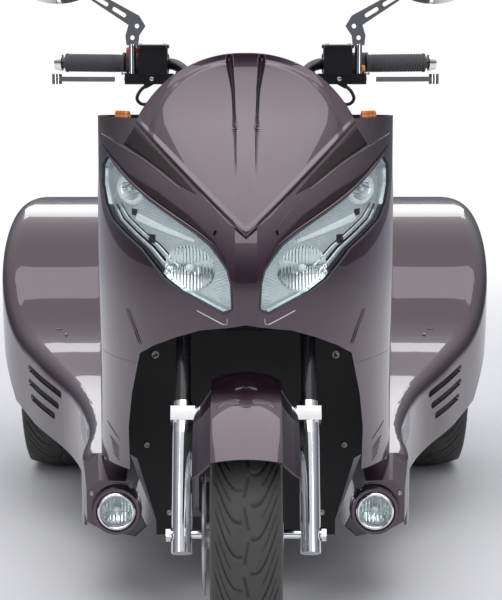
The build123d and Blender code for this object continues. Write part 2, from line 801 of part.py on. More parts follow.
def side_volume(wall, grow):
    """The side body's outer volume, or with a wall the space inside it."""
    with BuildPart() as volume:
        for y, outer, top, roll in side_sections:
            x0 = side_inner_x - grow
            x1 = outer - wall
            z1 = top - wall
            bend = roll - wall * 0.5
            lean = bend * math.sqrt(0.5)
            with BuildSketch(across(at(y))):
                with BuildLine():
                    Polyline((x1, z1 - bend), (x1, 80 - grow), (x0, 80 - grow), (x0, z1), (x1 - bend, z1))
                    if wall:
                        Line((x1 - bend, z1), (x1, z1 - bend))
                    else:
                        ThreePointArc(
                            (x1 - bend, z1), (x1 - bend + lean, z1 - bend + lean), (x1, z1 - bend)
                        )
                make_face()
        loft()
        with BuildSketch(across(at(side_sections[-1][0] - wall))):
            Rectangle(2 * overall_length, 2 * overall_length)
        extrude(amount=-100, mode=Mode.SUBTRACT)
    return volume.part


side_shell = side_volume(0, 0) - side_volume(side_wall, 20)
with BuildPart() as lower_edge_tool:
    with BuildSketch(Plane.YZ.offset(200)):
        Polygon(
            *[(at(y), z) for y, z in [(300, 0), *side_lower_edge, (2100, 0)]], align=None
        )
    extrude(amount=500)
with BuildPart() as arch_tool:
    with BuildSketch(Plane.YZ.offset(500)):
        with Locations((rear_axle_y, rear_tyre_radius)):
            Circle(arch_radius)
        with Locations((rear_axle_y, 0)):
            Rectangle(2 * arch_radius, 2 * rear_tyre_radius)
    extrude(amount=200)
with BuildPart() as tail_tool:
    with BuildSketch(Plane.XY.offset(360)):
        with BuildLine():
            Polyline(
                (0, at(tail_front_y - 4)), (234, at(tail_front_y - 4)), (234, at(1120)),
                (tail_half_width + panel_gap, at(1230)), (tail_half_width + panel_gap, at(2100)),
                (0, at(2100)), close=True,
            )
        make_face()
    extrude(amount=500)
with BuildPart() as gill_tool:
    # Columns: front place, front Z, rear place, rear Z
    for y0, z0, y1, z1 in ((872, 318, 1046, 352), (886, 290, 1046, 320), (905, 264, 1034, 286)):
        length = math.hypot(y1 - y0, z1 - z0)
        with BuildSketch(Plane.YZ.offset(330)):
            slope = math.degrees(math.atan2(z1 - z0, y1 - y0))
            with Locations(Location((at((y0 + y1) / 2), (z0 + z1) / 2, 0), (0, 0, slope))):
                SlotOverall(length, 15)
        extrude(amount=260)
side_body = side_shell - lower_edge_tool.part - arch_tool.part - tail_tool.part - gill_tool.part
side_body = side_body.solids().sort_by(SortBy.VOLUME)[-1]
save_pair(side_body, "side_bodies")

# Lamp pods: rounded noses that close the side bodies and carry the fog lamps
fog_x, fog_z = 249.0, 202.0
fog_radius = 39.0
pod_front_y = 318.0
pod_back = [(230, 286), (294, 288), (322, 264), (322, 168), (290, 150), (206, 134), (184, 160)]
pod_front = [(232, 256), (284, 258), (308, 240), (308, 176), (280, 160), (214, 146), (192, 166)]
with BuildPart() as lamp_pod:
    for y, outline in ((side_sections[0][0] - panel_gap, pod_back), (pod_front_y, pod_front)):
        with BuildSketch(across(at(y))):
            Polygon(*outline, align=None)
    loft()
    with BuildSketch(across(at(290))):
        with Locations((fog_x, fog_z)):
            Circle(fog_radius + 6)
    extrude(amount=-60)
    with BuildSketch(across(at(280))):
        with Locations((fog_x, fog_z)):
            Circle(fog_radius + seat_clearance)
    extrude(amount=-60, mode=Mode.SUBTRACT)
save_pair(lamp_pod.part, "lamp_pods")

with BuildPart() as fog_lamp:
    lamp_back = at(338)
    with BuildSketch(Plane(origin=(fog_x, lamp_back, fog_z), x_dir=(1, 0, 0), z_dir=(0, 0, 1))):
        with BuildLine():
            Polyline(
                (0, 0), (22, 0), (fog_radius, -34), (fog_radius, -46), (fog_radius - 5, -51),
                (0, -51), (0, 0),
            )
        make_face()
    revolve(axis=Axis((fog_x, lamp_back, fog_z), (0, 1, 0)))
save_pair(fog_lamp.part, "fog_lamps")

# Tail: a hollow centre body with a well under the seat and a trunk behind it
with BuildPart() as tail_body:
    with BuildSketch(Plane.XY.offset(tail_low_z)):
        with BuildLine():
            Polyline(
                (-200, at(tail_front_y)), (200, at(tail_front_y)), (232, at(960)), (232, at(1122)),
                (tail_half_width, at(1232)), (tail_half_width, at(tail_rear_y)),
                (-tail_half_width, at(tail_rear_y)), (-tail_half_width, at(1232)),
                (-232, at(1122)), (-232, at(960)), close=True,
            )
        make_face()
    extrude(amount=tail_top_z - tail_low_z)
    with BuildSketch(Plane.XY.offset(520)):
        with Locations((0, at(1270))):
            RectangleRounded(300, 600, 40)
    extrude(amount=300, mode=Mode.SUBTRACT)
    with BuildSketch(Plane.XY.offset(420)):
        with Locations((0, at((trunk_front_y + tail_rear_y) / 2))):
            RectangleRounded(600, tail_rear_y - trunk_front_y - 2 * 22, 30)
    extrude(amount=400, mode=Mode.SUBTRACT)
    with BuildSketch(Plane.XY.offset(300)):
        with Locations((0, at(1270))):
            Rectangle(260, 640)
    extrude(amount=215, mode=Mode.SUBTRACT)
    with BuildSketch(Plane.XY.offset(300)):
        with Locations((0, at(1660))):
            Rectangle(500, 110)
    extrude(amount=360, mode=Mode.SUBTRACT)
    with BuildSketch(Plane.XY.offset(tail_top_z - 18)):
        with Locations((90, at(905)), (-90, at(905))):
            Rectangle(40, 66)
    extrude(amount=18)
    with BuildSketch(across(at(tail_rear_y + 1))):
        with Locations((0, plate_bolt_z)):
            with GridLocations(plate_bolt_spacing, 1, 2, 1):
                Circle(plate_bolt_radius)
    extrude(amount=23, mode=Mode.SUBTRACT)
save(tail_body.part, "tail_body")

with BuildPart() as trunk_lid:
    with BuildSketch(Plane.YZ.offset(-310)):
        with BuildLine():
            Polyline(
                (at(trunk_front_y + lid_nose), tail_top_z + 0.4), (at(tail_rear_y), tail_top_z + 0.4),
                (at(tail_rear_y + 14), tail_top_z + 34), (at(tail_rear_y - 10), tail_top_z + 40),
                (at(trunk_front_y + lid_nose), tail_top_z + 0.4 + 2 * lid_nose),
            )
            ThreePointArc(
                (at(trunk_front_y + lid_nose), tail_top_z + 0.4 + 2 * lid_nose),
                (at(trunk_front_y), tail_top_z + 0.4 + lid_nose),
                (at(trunk_front_y + lid_nose), tail_top_z + 0.4),
            )
        make_face()
    extrude(amount=620)
save(trunk_lid.part, "trunk_lid")

# Seat: a base pan hinged along its front, the cushion on it, and a fixed back pad on its bracket
with BuildPart() as seat_pan:
    with BuildSketch(Plane.XY.offset(tail_top_z + 0.4)):
        with Locations((0, at((seat_front_y + seat_rear_y - 10) / 2))):
            RectangleRounded(2 * seat_half_width - 20, seat_rear_y - seat_front_y - 10, 60)
    extrude(amount=pan_thickness)
    with BuildSketch(Plane.YZ.offset(-hinge_half)):
        with Locations((at(seat_front_y), tail_top_z + 0.4 + pan_thickness / 2)):
            Circle(pan_thickness / 2)
    extrude(amount=2 * hinge_half)
save(seat_pan.part, "seat_pan")

# Columns: place, half width, top height above the pan
seat_sections = [
    (seat_front_y, 96.0, 34.0),
    (seat_front_y + 90, 140.0, 62.0),
    (1210.0, seat_half_width - 6, 60.0),
    (1300.0, seat_half_width, 112.0),
    (seat_rear_y - 60, seat_half_width, 114.0),
    (seat_rear_y, seat_half_width - 20, 84.0),
]
with BuildPart() as seat_cushion:
    for y, half, top in seat_sections:
        base = tail_top_z + 8.7
        with BuildSketch(across(at(y))):
            with BuildLine():
                Polyline((-half + 6, base), (half - 6, base), (half, base + top * 0.55))
                ThreePointArc((half, base + top * 0.55), (0, base + top), (-half, base + top * 0.55))
                Line((-half, base + top * 0.55), (-half + 6, base))
            make_face()
    loft(ruled=True)
save(seat_cushion.part, "seat_cushion")

with BuildPart() as back_bracket:
    for x in (-120, 120):
        with BuildSketch(Plane.YZ.offset(x - 4)):
            with BuildLine():
                Polyline(
                    (at(1652), tail_top_z + 0.4), (at(1716), tail_top_z + 0.4), (at(1716), tail_top_z + 20),
                    (at(1702), tail_top_z + 60), (at(1696), tail_top_z + 110), (at(1696), tail_top_z + 270),
                    (at(1681.3), tail_top_z + 270), (at(1681.3), tail_top_z + 110),
                    (at(1678), tail_top_z + 60), (at(1652), tail_top_z + 20), close=True,
                )
            make_face()
        extrude(amount=8)
    with BuildSketch(Plane(origin=(0, at(1690), tail_top_z + 200))):
        Rectangle(248, 8)
    extrude(amount=60)
save(back_bracket.part, "back_bracket")

with BuildPart() as back_pad:
    # Columns: height over the tail, half width, depth
    for rise, half, deep in ((120, 168, 44), (200, 184, 54), (285, 160, 36)):
        with BuildSketch(Plane.XY.offset(tail_top_z + rise)):
            with Locations((0, at(1681 - deep / 2))):
                RectangleRounded(2 * half, deep, 16)
    loft(ruled=True)
save(back_pad.part, "back_pad")

# Frame: head tube, two mitred down tubes that become floor rails and rise under the seat
with BuildPart() as frame:
    with BuildSketch(stem_plane(head_tube_low)):
        Circle(head_tube_radius)
    extrude(amount=head_tube_high - head_tube_low)
    for sign in (1, -1):
        with BuildLine() as rail_path:
            Polyline(
                (sign * 20, at(306), 738), (sign * 60, at(down_tube_y - 4), 560),
                (sign * rail_half_spacing, at(down_tube_y), 480),
                (sign * rail_half_spacing, at(down_tube_y), floor_rail_z),
                (sign * rail_half_spacing, at(960), floor_rail_z),
                (sign * 150, at(1080), axle_rail_z), (sign * 165, at(1640), axle_rail_z),
            )
        rail_wire = rail_path.wires()[0]
        with BuildSketch(Plane(origin=rail_wire @ 0, z_dir=rail_wire % 0)):
            Circle(rail_radius)
        sweep(path=rail_wire, transition=Transition.RIGHT)
    # Columns: place, height, half length
    for y, z, half in (
        (520, floor_rail_z, rail_half_spacing), (880, floor_rail_z, rail_half_spacing),
        (1120, axle_rail_z, 150), (1440, axle_rail_z, 158),
    ):
        with BuildSketch(Plane.YZ.offset(-half)):
            with Locations((at(y), z)):
                Rectangle(2 * cross_half, 2 * cross_half)
        extrude(amount=2 * half)
    with BuildSketch(stem_plane(head_tube_low)):
        Circle(steerer_radius + running_clearance)
    extrude(amount=head_tube_high - head_tube_low, mode=Mode.SUBTRACT)
save(frame.part, "frame")

# Engine: one plain block at its place, hung under the two rear cross tubes
engine_top = axle_rail_z - cross_half - seat_clearance
with BuildPart() as engine:
    with BuildSketch(Plane.XY.offset(178)):
        with Locations((0, at(1285))):
            RectangleRounded(236, 390, 40)
    extrude(amount=engine_top - 178)
save(engine.part, "engine")

# Exhaust: a pipe from the engine's side into a can hung under the tail
muffler_x = -245.0
muffler_z = 188.0
with BuildPart() as muffler:
    with BuildSketch(across(at(1950))):
        with Locations((muffler_x, muffler_z)):
            Circle(46)
    extrude(amount=430)
    with BuildSketch(across(at(1968))):
        with Locations((muffler_x, muffler_z)):
            Circle(20)
            Circle(16, mode=Mode.SUBTRACT)
    extrude(amount=20)
    with BuildLine() as pipe_path:
        FilletPolyline(
            (-118 - seat_clearance, at(1260), 225), (-190, at(1260), 225),
            (muffler_x, at(1380), muffler_z), (muffler_x, at(1530), muffler_z), radius=36,
        )
    with BuildSketch(Plane(origin=pipe_path.wires()[0] @ 0, z_dir=pipe_path.wires()[0] % 0)):
        Circle(17)
    sweep(path=pipe_path.wires()[0])
    with BuildSketch(across(at(1900))):
        with BuildLine():
            Polyline(
                (muffler_x - 14, muffler_z + 30), (muffler_x + 14, muffler_z + 30),
                (muffler_x + 14, tail_low_z - seat_clearance),
                (muffler_x - 14, tail_low_z - seat_clearance), close=True,
            )
        make_face()
    extrude(amount=6)
save(muffler.part, "muffler")

# Rear axle: tubes and a differential case, a spindle for each wheel, and legs up to the rails
spindle_end = rear_track / 2 + 66
flange_x = rear_track / 2 - 66
with BuildPart() as rear_axle:
    with BuildSketch(wheel_plane(rear_axle_y, rear_tyre_radius)):
        with BuildLine():
            Polyline(
                (-spindle_end, 0), (-spindle_end, rear_spindle_radius),
                (-flange_x, rear_spindle_radius), (-flange_x, 44), (-flange_x + 8, 44),
                (-flange_x + 8, 26), (-74, 26), (-52, 70), (52, 70), (74, 26), (flange_x - 8, 26),
                (flange_x - 8, 44), (flange_x, 44),
                (flange_x, rear_spindle_radius), (spindle_end, rear_spindle_radius),
                (spindle_end, 0), close=True,
            )
        make_face()
    revolve(axis=Axis((0, rear_axle_y, rear_tyre_radius), (1, 0, 0)))
    for sign in (1, -1):
        with BuildSketch(Plane.XY.offset(rear_tyre_radius)):
            with Locations((sign * 164, rear_axle_y)):
                Rectangle(22, 60)
        extrude(amount=axle_rail_z - rail_radius - seat_clearance - rear_tyre_radius)
save(rear_axle.part, "rear_axle")

# Tail lamps: a red block low at each rear corner of the tail
with BuildPart() as tail_lamp:
    with BuildSketch(across(at(tail_rear_y) + seat_clearance)):
        with Locations((232, 600)):
            RectangleRounded(170, 84, 26)
    with BuildSketch(across(at(overall_length - front_tyre_radius))):
        with Locations((232, 600)):
            RectangleRounded(146, 62, 20)
    loft()
save_pair(tail_lamp.part, "tail_lamps")

# Turn signals: small amber lamps where the hood's corners meet the fairing's shoulders
with BuildPart() as signal:
    with BuildSketch(Plane.XY.offset(cowl_top_z + seat_clearance)):
        with Locations(Location((232, at(327), 0), (0, 0, 52))):
            SlotOverall(44, 18)
    extrude(amount=12, taper=14)
save_pair(signal.part, "turn_signals")
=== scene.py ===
import json
import math
import bmesh
import bpy
import numpy as np
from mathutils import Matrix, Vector


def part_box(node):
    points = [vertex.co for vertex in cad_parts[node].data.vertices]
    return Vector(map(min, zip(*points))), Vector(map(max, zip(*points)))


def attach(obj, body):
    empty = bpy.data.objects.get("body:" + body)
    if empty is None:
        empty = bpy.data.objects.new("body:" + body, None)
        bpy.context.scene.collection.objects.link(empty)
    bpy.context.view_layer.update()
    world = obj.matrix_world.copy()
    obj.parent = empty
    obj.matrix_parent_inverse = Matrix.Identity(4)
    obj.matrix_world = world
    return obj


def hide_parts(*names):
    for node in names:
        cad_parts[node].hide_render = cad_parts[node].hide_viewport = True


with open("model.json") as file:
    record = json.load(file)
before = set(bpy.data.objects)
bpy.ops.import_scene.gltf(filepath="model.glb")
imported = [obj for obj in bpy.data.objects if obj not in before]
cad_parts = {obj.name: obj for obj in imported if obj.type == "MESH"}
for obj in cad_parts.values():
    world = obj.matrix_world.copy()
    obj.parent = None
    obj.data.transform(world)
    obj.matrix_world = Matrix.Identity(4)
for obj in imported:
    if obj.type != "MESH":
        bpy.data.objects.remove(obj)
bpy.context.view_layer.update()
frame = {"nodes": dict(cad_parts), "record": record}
nodes = frame["nodes"]

# Camera: stands 3.2 m before the front axle at eye height, as the photographer did
cameraSpec = {"place": (-0.007, -4.094, 1.100), "down": 7.93, "yaw": -0.28, "lens": 111.6}
cameraData = bpy.data.cameras.new("camera")
cameraData.lens = cameraSpec["lens"]
camera = bpy.data.objects.new("camera", cameraData)
camera.location = cameraSpec["place"]
camera.rotation_euler = (math.radians(90 - cameraSpec["down"]), 0, math.radians(cameraSpec["yaw"]))
bpy.context.collection.objects.link(camera)
bpy.context.scene.camera = camera
bpy.context.scene.view_settings.view_transform = "Standard"


# A socket, or a number, that can stand in a plain sum
class Sock:
    def __init__(self, tree, out):
        self.tree = tree
        self.out = out

    def math(self, operation, other=0.0, swapped=False, clamped=False):
        node = self.tree.nodes.new("ShaderNodeMath")
        node.operation = operation
        node.use_clamp = clamped
        first, second = (other, self) if swapped else (self, other)
        plug(self.tree, node.inputs[0], first)
        plug(self.tree, node.inputs[1], second)
        return Sock(self.tree, node.outputs[0])

    def __add__(self, other):
        return self.math("ADD", other)

    def __radd__(self, other):
        return self.math("ADD", other)

    def __sub__(self, other):
        return self.math("SUBTRACT", other)

    def __rsub__(self, other):
        return self.math("SUBTRACT", other, swapped=True)

    def __mul__(self, other):
        return self.math("MULTIPLY", other)

    def __rmul__(self, other):
        return self.math("MULTIPLY", other)

    def __pow__(self, other):
        return self.math("POWER", other)

    def held(self):
        return self.math("ADD", 0.0, clamped=True)

    def wave(self):
        return self.math("SINE")


def plug(tree, socket, value):
    if isinstance(value, Sock):
        tree.links.new(value.out, socket)
    else:
        socket.default_value = value


class Graph:
    def __init__(self, tree):
        self.tree = tree
        tree.nodes.clear()
        self.place = self.add("TexCoord", out="Object")
        self.x, self.z = (self.add("SeparateXYZ", None, {0: self.place}, k) for k in (0, 2))

    def add(self, kind, settings=None, sockets=None, out=0):
        node = self.tree.nodes.new("ShaderNode" + kind)
        for key, value in (settings or {}).items():
            setattr(node, key, value)
        for key, value in (sockets or {}).items():
            plug(self.tree, node.inputs[key], value)
        return Sock(self.tree, node.outputs[out]) if out is not None else None

    def noise(self, scale, detail=3.0, rough=0.5, stretch=None):
        place = self.place
        if stretch:
            place = self.add("Mapping", None, {"Vector": self.place, "Scale": stretch})
        sockets = {"Vector": place, "Scale": scale, "Detail": detail, "Roughness": rough}
        return self.add("TexNoise", None, sockets)

    def cells(self, scale, out="Distance", feature="F1"):
        return self.add("TexVoronoi", {"feature": feature}, {"Vector": self.place, "Scale": scale}, out)

    def mix(self, share, first, second):
        return self.add("Mix", {"data_type": "RGBA"}, {0: share, 6: first, 7: second}, 2)

    def bump(self, height, strength, distance):
        return self.add("Bump", None, {"Height": height, "Strength": strength, "Distance": distance})

    def band(self, value, low, high):
        # 0 below low, 1 above high, smooth between
        return self.add("MapRange", {"interpolation_type": "SMOOTHSTEP"}, {0: value, 1: low, 2: high})

    def show(self, shader):
        self.add("OutputMaterial", None, {"Surface": shader}, None)

    def principled(self, sockets):
        self.show(self.add("BsdfPrincipled", None, sockets))


def rgb(red, green, blue):
    return (red, green, blue, 1.0)


materials = {}


def newMaterial(name):
    made = bpy.data.materials.new(name)
    made.use_nodes = True
    materials[name] = made
    return Graph(made.node_tree)


# Deep burgundy metallic lacquer: flakes under a clear coat, faint orange peel, some road dust low down
paint = {
    "deep": rgb(0.020, 0.005, 0.011), "flake": rgb(0.066, 0.026, 0.052), "dust": rgb(0.10, 0.085, 0.08),
    "metallic": 0.75, "coatRoughness": 0.02, "coatIor": 1.68,
}
g = newMaterial("bodyPaint")
flakes = g.cells(1900, "Color")
flakeShare = g.add("SeparateColor", None, {0: flakes})
tone = g.mix(flakeShare * 0.45 + g.noise(3.0) * 0.25, paint["deep"], paint["flake"])
dusty = (g.band(g.z, 0.42, 0.1) * (g.noise(14, 6, 0.65) ** 2.0) * 0.5).held()
peel = g.bump(g.noise(140, 2), 0.05, 0.0006)
g.principled({
    "Base Color": g.mix(dusty, tone, paint["dust"]), "Metallic": paint["metallic"],
    "Roughness": flakeShare * 0.10 + 0.28 + dusty * 0.4, "Normal": peel,
    "Coat Weight": 1.0, "Coat Roughness": paint["coatRoughness"], "Coat IOR": paint["coatIor"],
})

# Painted shade: the same lacquer made nearly black, for sheets laid where hollows and grooves lie in shade
g = newMaterial("paintedShade")
speck = g.add("SeparateColor", None, {0: g.cells(1900, "Color")})
g.principled({
    "Base Color": g.mix(speck * 0.4, rgb(0.007, 0.004, 0.005), rgb(0.018, 0.009, 0.012)),
    "Roughness": speck * 0.1 + 0.42, "Specular IOR Level": 0.3,
    "Normal": g.bump(g.noise(140, 2), 0.05, 0.0006),
})


# Plastics and coats differ in their numbers only
# Columns: colour, second colour, grain per metre, grain height, roughness, its spread, coat
plastics = {
    "blackPlastic": (rgb(0.008, 0.008, 0.009), rgb(0.022, 0.021, 0.022), 1500, 0.00025, 0.46, 0.22, 0.0),
    "blackGloss": (rgb(0.006, 0.006, 0.007), rgb(0.014, 0.013, 0.015), 260, 0.00003, 0.12, 0.10, 0.6),
    "blackSteel": (rgb(0.010, 0.010, 0.012), rgb(0.022, 0.021, 0.023), 420, 0.00008, 0.26, 0.20, 0.3),
    "gripRubber": (rgb(0.035, 0.037, 0.042), rgb(0.062, 0.064, 0.070), 1800, 0.00030, 0.62, 0.16, 0.0),
    "greyCap": (rgb(0.18, 0.18, 0.19), rgb(0.26, 0.26, 0.27), 900, 0.00010, 0.38, 0.15, 0.2),
    "redButton": (rgb(0.55, 0.02, 0.015), rgb(0.65, 0.05, 0.03), 700, 0.00008, 0.28, 0.15, 0.4),
    "orangeButton": (rgb(0.85, 0.25, 0.03), rgb(0.9, 0.35, 0.05), 700, 0.00008, 0.28, 0.15, 0.4),
}
for name, (first, second, grain, height, rough, spread, coat) in plastics.items():
    g = newMaterial(name)
    cloud = g.noise(9, 5, 0.6)
    fine = g.noise(grain * 0.3, 3)
    lowDust = g.band(g.z, 0.35, 0.1)
    g.principled({
        "Base Color": g.mix(fine * 0.6 + lowDust * cloud * 0.5, first, second),
        "Roughness": cloud * spread + (rough - spread / 2), "Coat Weight": coat,
        "Normal": g.bump(g.noise(grain, 2), 0.6, height),
    })

# Metals: brushed or cast by the stretch of their grain
# Columns: colour, darker colour, roughness, its spread, grain stretch, grain per metre, grain height
metals = {
    "chrome": (rgb(0.86, 0.87, 0.88), rgb(0.70, 0.71, 0.72), 0.07, 0.05, (1, 1, 1), 60, 0.00002),
    "wheelAlloy": (rgb(0.62, 0.63, 0.64), rgb(0.45, 0.46, 0.47), 0.24, 0.12, (1, 1, 1), 300, 0.00006),
    "engineMetal": (rgb(0.30, 0.30, 0.31), rgb(0.16, 0.15, 0.15), 0.52, 0.20, (1, 1, 1), 420, 0.00060),
    "exhaustSteel": (rgb(0.50, 0.49, 0.48), rgb(0.34, 0.30, 0.27), 0.30, 0.16, (60, 1, 60), 12, 0.00010),
    "discSteel": (rgb(0.55, 0.55, 0.56), rgb(0.38, 0.37, 0.37), 0.28, 0.12, (2, 30, 30), 30, 0.00008),
    "brakeMetal": (rgb(0.16, 0.16, 0.17), rgb(0.08, 0.08, 0.08), 0.42, 0.16, (1, 1, 1), 600, 0.00020),
    "boltSteel": (rgb(0.55, 0.55, 0.55), rgb(0.30, 0.28, 0.26), 0.30, 0.18, (1, 1, 1), 900, 0.00006),
    "reflector": (rgb(0.86, 0.90, 0.89), rgb(0.72, 0.78, 0.77), 0.09, 0.06, (1, 1, 1), 40, 0.00004),
    "mirrorGlass": (rgb(0.90, 0.91, 0.92), rgb(0.84, 0.85, 0.87), 0.02, 0.02, (1, 1, 1), 20, 0.00001),
}
for name, (first, second, rough, spread, stretch, grain, height) in metals.items():
    g = newMaterial(name)
    brushed = g.noise(grain, 4, 0.6, stretch)
    g.principled({
        "Base Color": g.mix(g.noise(16, 5, 0.6) * 0.6 + brushed * 0.3, first, second), "Metallic": 1.0,
        "Roughness": (brushed * spread + (rough - spread / 2) + g.noise(25, 4) * 0.03).held(),
        "Normal": g.bump(brushed, 0.5, height),
    })

# Tyre rubber: dark grey, worn paler on the crown, with fine pores and dust in the tread
rubber = {"dark": rgb(0.030, 0.031, 0.031), "worn": rgb(0.085, 0.084, 0.080), "pores": 1400}
g = newMaterial("tyreRubber")
worn = g.noise(30, 6, 0.7)
g.principled({
    "Base Color": g.mix(worn * 0.8, rubber["dark"], rubber["worn"]),
    "Roughness": worn * 0.25 + 0.5, "Specular IOR Level": 0.4,
    "Normal": g.bump(g.noise(rubber["pores"], 3), 0.7, 0.0003),
})

# Seat vinyl: fine pebbled grain with sheen, a little polished where it is sat on
vinyl = {"dark": rgb(0.009, 0.009, 0.010), "pale": rgb(0.024, 0.023, 0.025), "grain": 620}
g = newMaterial("seatVinyl")
pebble = g.cells(vinyl["grain"], feature="SMOOTH_F1")
rubbed = g.noise(7, 4)
g.principled({
    "Base Color": g.mix(pebble * 0.8 + rubbed * 0.3, vinyl["dark"], vinyl["pale"]),
    "Roughness": rubbed * 0.3 + 0.36 - pebble * 0.1, "Sheen Weight": 0.08,
    "Normal": g.bump(pebble, 0.8, 0.0006),
})

# Sewing thread, a shade paler than the vinyl
g = newMaterial("seatThread")
g.principled({
    "Base Color": g.mix(g.noise(900), rgb(0.03, 0.03, 0.03), rgb(0.09, 0.085, 0.085)),
    "Roughness": g.noise(400) * 0.3 + 0.6, "Normal": g.bump(g.noise(1500, 2), 0.8, 0.0004),
})

# Clear covers: seen through head on, mirror-like at a glance, with faint moulding ripples
# Columns: tint, ripple per metre
covers = {"clearLens": (rgb(0.955, 0.975, 0.975), 90), "fogGlass": (rgb(0.95, 0.97, 0.97), 160)}
for name, (tint, ripple) in covers.items():
    g = newMaterial(name)
    skin = g.bump(g.noise(ripple, 2), 0.15, 0.0004)
    clear = g.add("BsdfTransparent", None, {"Color": tint})
    glint = g.add("BsdfPrincipled", None, {
        "Base Color": g.mix(g.noise(30), rgb(0.90, 0.95, 0.94), rgb(0.98, 0.99, 0.99)), "Metallic": 1.0,
        "Roughness": g.noise(80) * 0.03 + 0.01, "Normal": skin,
    })
    glance = g.add("LayerWeight", None, {"Blend": 0.5, "Normal": skin}, "Facing")  # the same from inside
    g.show(g.add("MixShader", None, {0: (glance ** 5.0 * 0.9 + 0.035).held(), 1: clear, 2: glint}))

# Coloured lamp covers with moulded flutes behind a smooth skin
# Columns: colour, deeper colour, flutes per metre
lampColours = {
    "amberLens": (rgb(0.90, 0.30, 0.03), rgb(0.45, 0.10, 0.01), 900),
    "redLens": (rgb(0.55, 0.012, 0.012), rgb(0.20, 0.004, 0.006), 500),
}
for name, (first, second, flutes) in lampColours.items():
    g = newMaterial(name)
    rib = (g.x * flutes).wave() * 0.5 + (g.z * flutes).wave() * 0.5
    g.principled({
        "Base Color": g.mix((rib * 0.5 + 0.5).held(), first, second), "Roughness": g.noise(60) * 0.1 + 0.12,
        "Coat Weight": 0.7, "Transmission Weight": 0.25, "Normal": g.bump(rib, 0.5, 0.0008),
    })

# The lamp's silvered lining: vapour-coated plastic
g = newMaterial("lampSilver")
g.principled({
    "Base Color": g.mix(g.noise(70, 4), rgb(0.60, 0.66, 0.67), rgb(0.80, 0.85, 0.86)), "Metallic": 0.45,
    "Roughness": g.noise(40) * 0.15 + 0.18, "Normal": g.bump(g.noise(260), 0.2, 0.0002),
})

# Frosted white: rings, bars, bulbs and the gauges' marks
g = newMaterial("whiteRing")
g.principled({
    "Base Color": g.mix(g.noise(200), rgb(0.80, 0.84, 0.83), rgb(0.93, 0.95, 0.94)),
    "Roughness": g.noise(90) * 0.15 + 0.2, "Coat Weight": 0.5, "Normal": g.bump(g.noise(500), 0.3, 0.0002),
})

slotLooks = {
    "body_paint": "bodyPaint", "black_plastic": "blackPlastic", "black_gloss": "blackGloss",
    "black_steel": "blackSteel", "chrome": "chrome", "wheel_alloy": "wheelAlloy",
    "engine_metal": "engineMetal", "exhaust_steel": "exhaustSteel", "disc_steel": "discSteel",
    "brake_metal": "brakeMetal", "tyre": "tyreRubber", "grip_rubber": "gripRubber",
    "seat_vinyl": "seatVinyl", "clear_lens": "clearLens", "clear_lens_lamp": "fogGlass",
    "lamp_reflector": "reflector", "amber_lens": "amberLens", "red_lens": "redLens",
    "mirror_glass": "mirrorGlass",
}
for part in frame["record"]["subparts"]:
    for holder in nodes[part["node"]].material_slots:
        holder.material = materials[slotLooks[part["material_slot"]]]
print("materials", len(materials))


# Surfaces: points on a rows by columns grid, joined by quads
def gridFaces(points, roundRows=False, roundCols=False):
    rows, cols = points.shape[:2]
    row = np.arange(rows if roundRows else rows - 1)[:, None]
    col = np.arange(cols if roundCols else cols - 1)[None, :]
    below, beside = (row + 1) % rows, (col + 1) % cols
    quads = np.stack([row * cols + col, row * cols + beside, below * cols + beside, below * cols + col], -1)
    return points.reshape(-1, 3), quads.reshape(-1, 4)


# Several (points, faces) pairs as one
def join(parts):
    points, faces, start = [], [], 0
    for some, quads in parts:
        points.append(some)
        faces.append(quads + start)
        start += len(some)
    return np.concatenate(points), np.concatenate(faces)


# Doubles merged, then the normals turned outwards again
def weld(mesh, distance):
    work = bmesh.new()
    work.from_mesh(mesh)
    bmesh.ops.remove_doubles(work, verts=work.verts, dist=distance)
    bmesh.ops.recalc_face_normals(work, faces=work.faces)
    work.to_mesh(mesh)
    work.free()


def pointsOf(mesh):
    points = np.empty(len(mesh.vertices) * 3)
    mesh.vertices.foreach_get("co", points)
    return points.reshape(-1, 3)


# One object from one or more grids: it rides on a body and stands for the nodes that it replaces
def piece(name, parts, look, body="chassis", stands=(), thick=0.0):
    points, faces = join(parts if isinstance(parts, list) else [parts])
    mesh = bpy.data.meshes.new(name)
    mesh.from_pydata(points, [], faces.tolist())
    weld(mesh, 1e-6)
    mesh.polygons.foreach_set("use_smooth", np.ones(len(mesh.polygons), bool))
    mesh.materials.append(materials[look])
    made = bpy.data.objects.new(name, mesh)
    bpy.context.collection.objects.link(made)
    if thick:
        wall = made.modifiers.new("wall", "SOLIDIFY")
        wall.thickness = thick
        wall.offset = -1.0
    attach(made, body)
    if stands:
        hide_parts(*stands)
    return made


def unit(vector):
    vector = np.asarray(vector, float)
    return vector / np.linalg.norm(vector, axis=-1, keepdims=True)


# A line of (along the axis, radius) pairs turned about an axis
def turned(profile, centre, axis, segments=48):
    profile = np.asarray(profile, float)
    axis = unit(axis)
    side = unit(np.cross(axis, (0.31, 0.27, 0.91)))
    other = np.cross(axis, side)
    angle = np.linspace(0, 2 * np.pi, segments, endpoint=False)[:, None]
    ring = np.cos(angle) * side + np.sin(angle) * other
    points = np.asarray(centre) + profile[:, 0, None, None] * axis + profile[:, 1, None, None] * ring
    return gridFaces(points, roundCols=True)


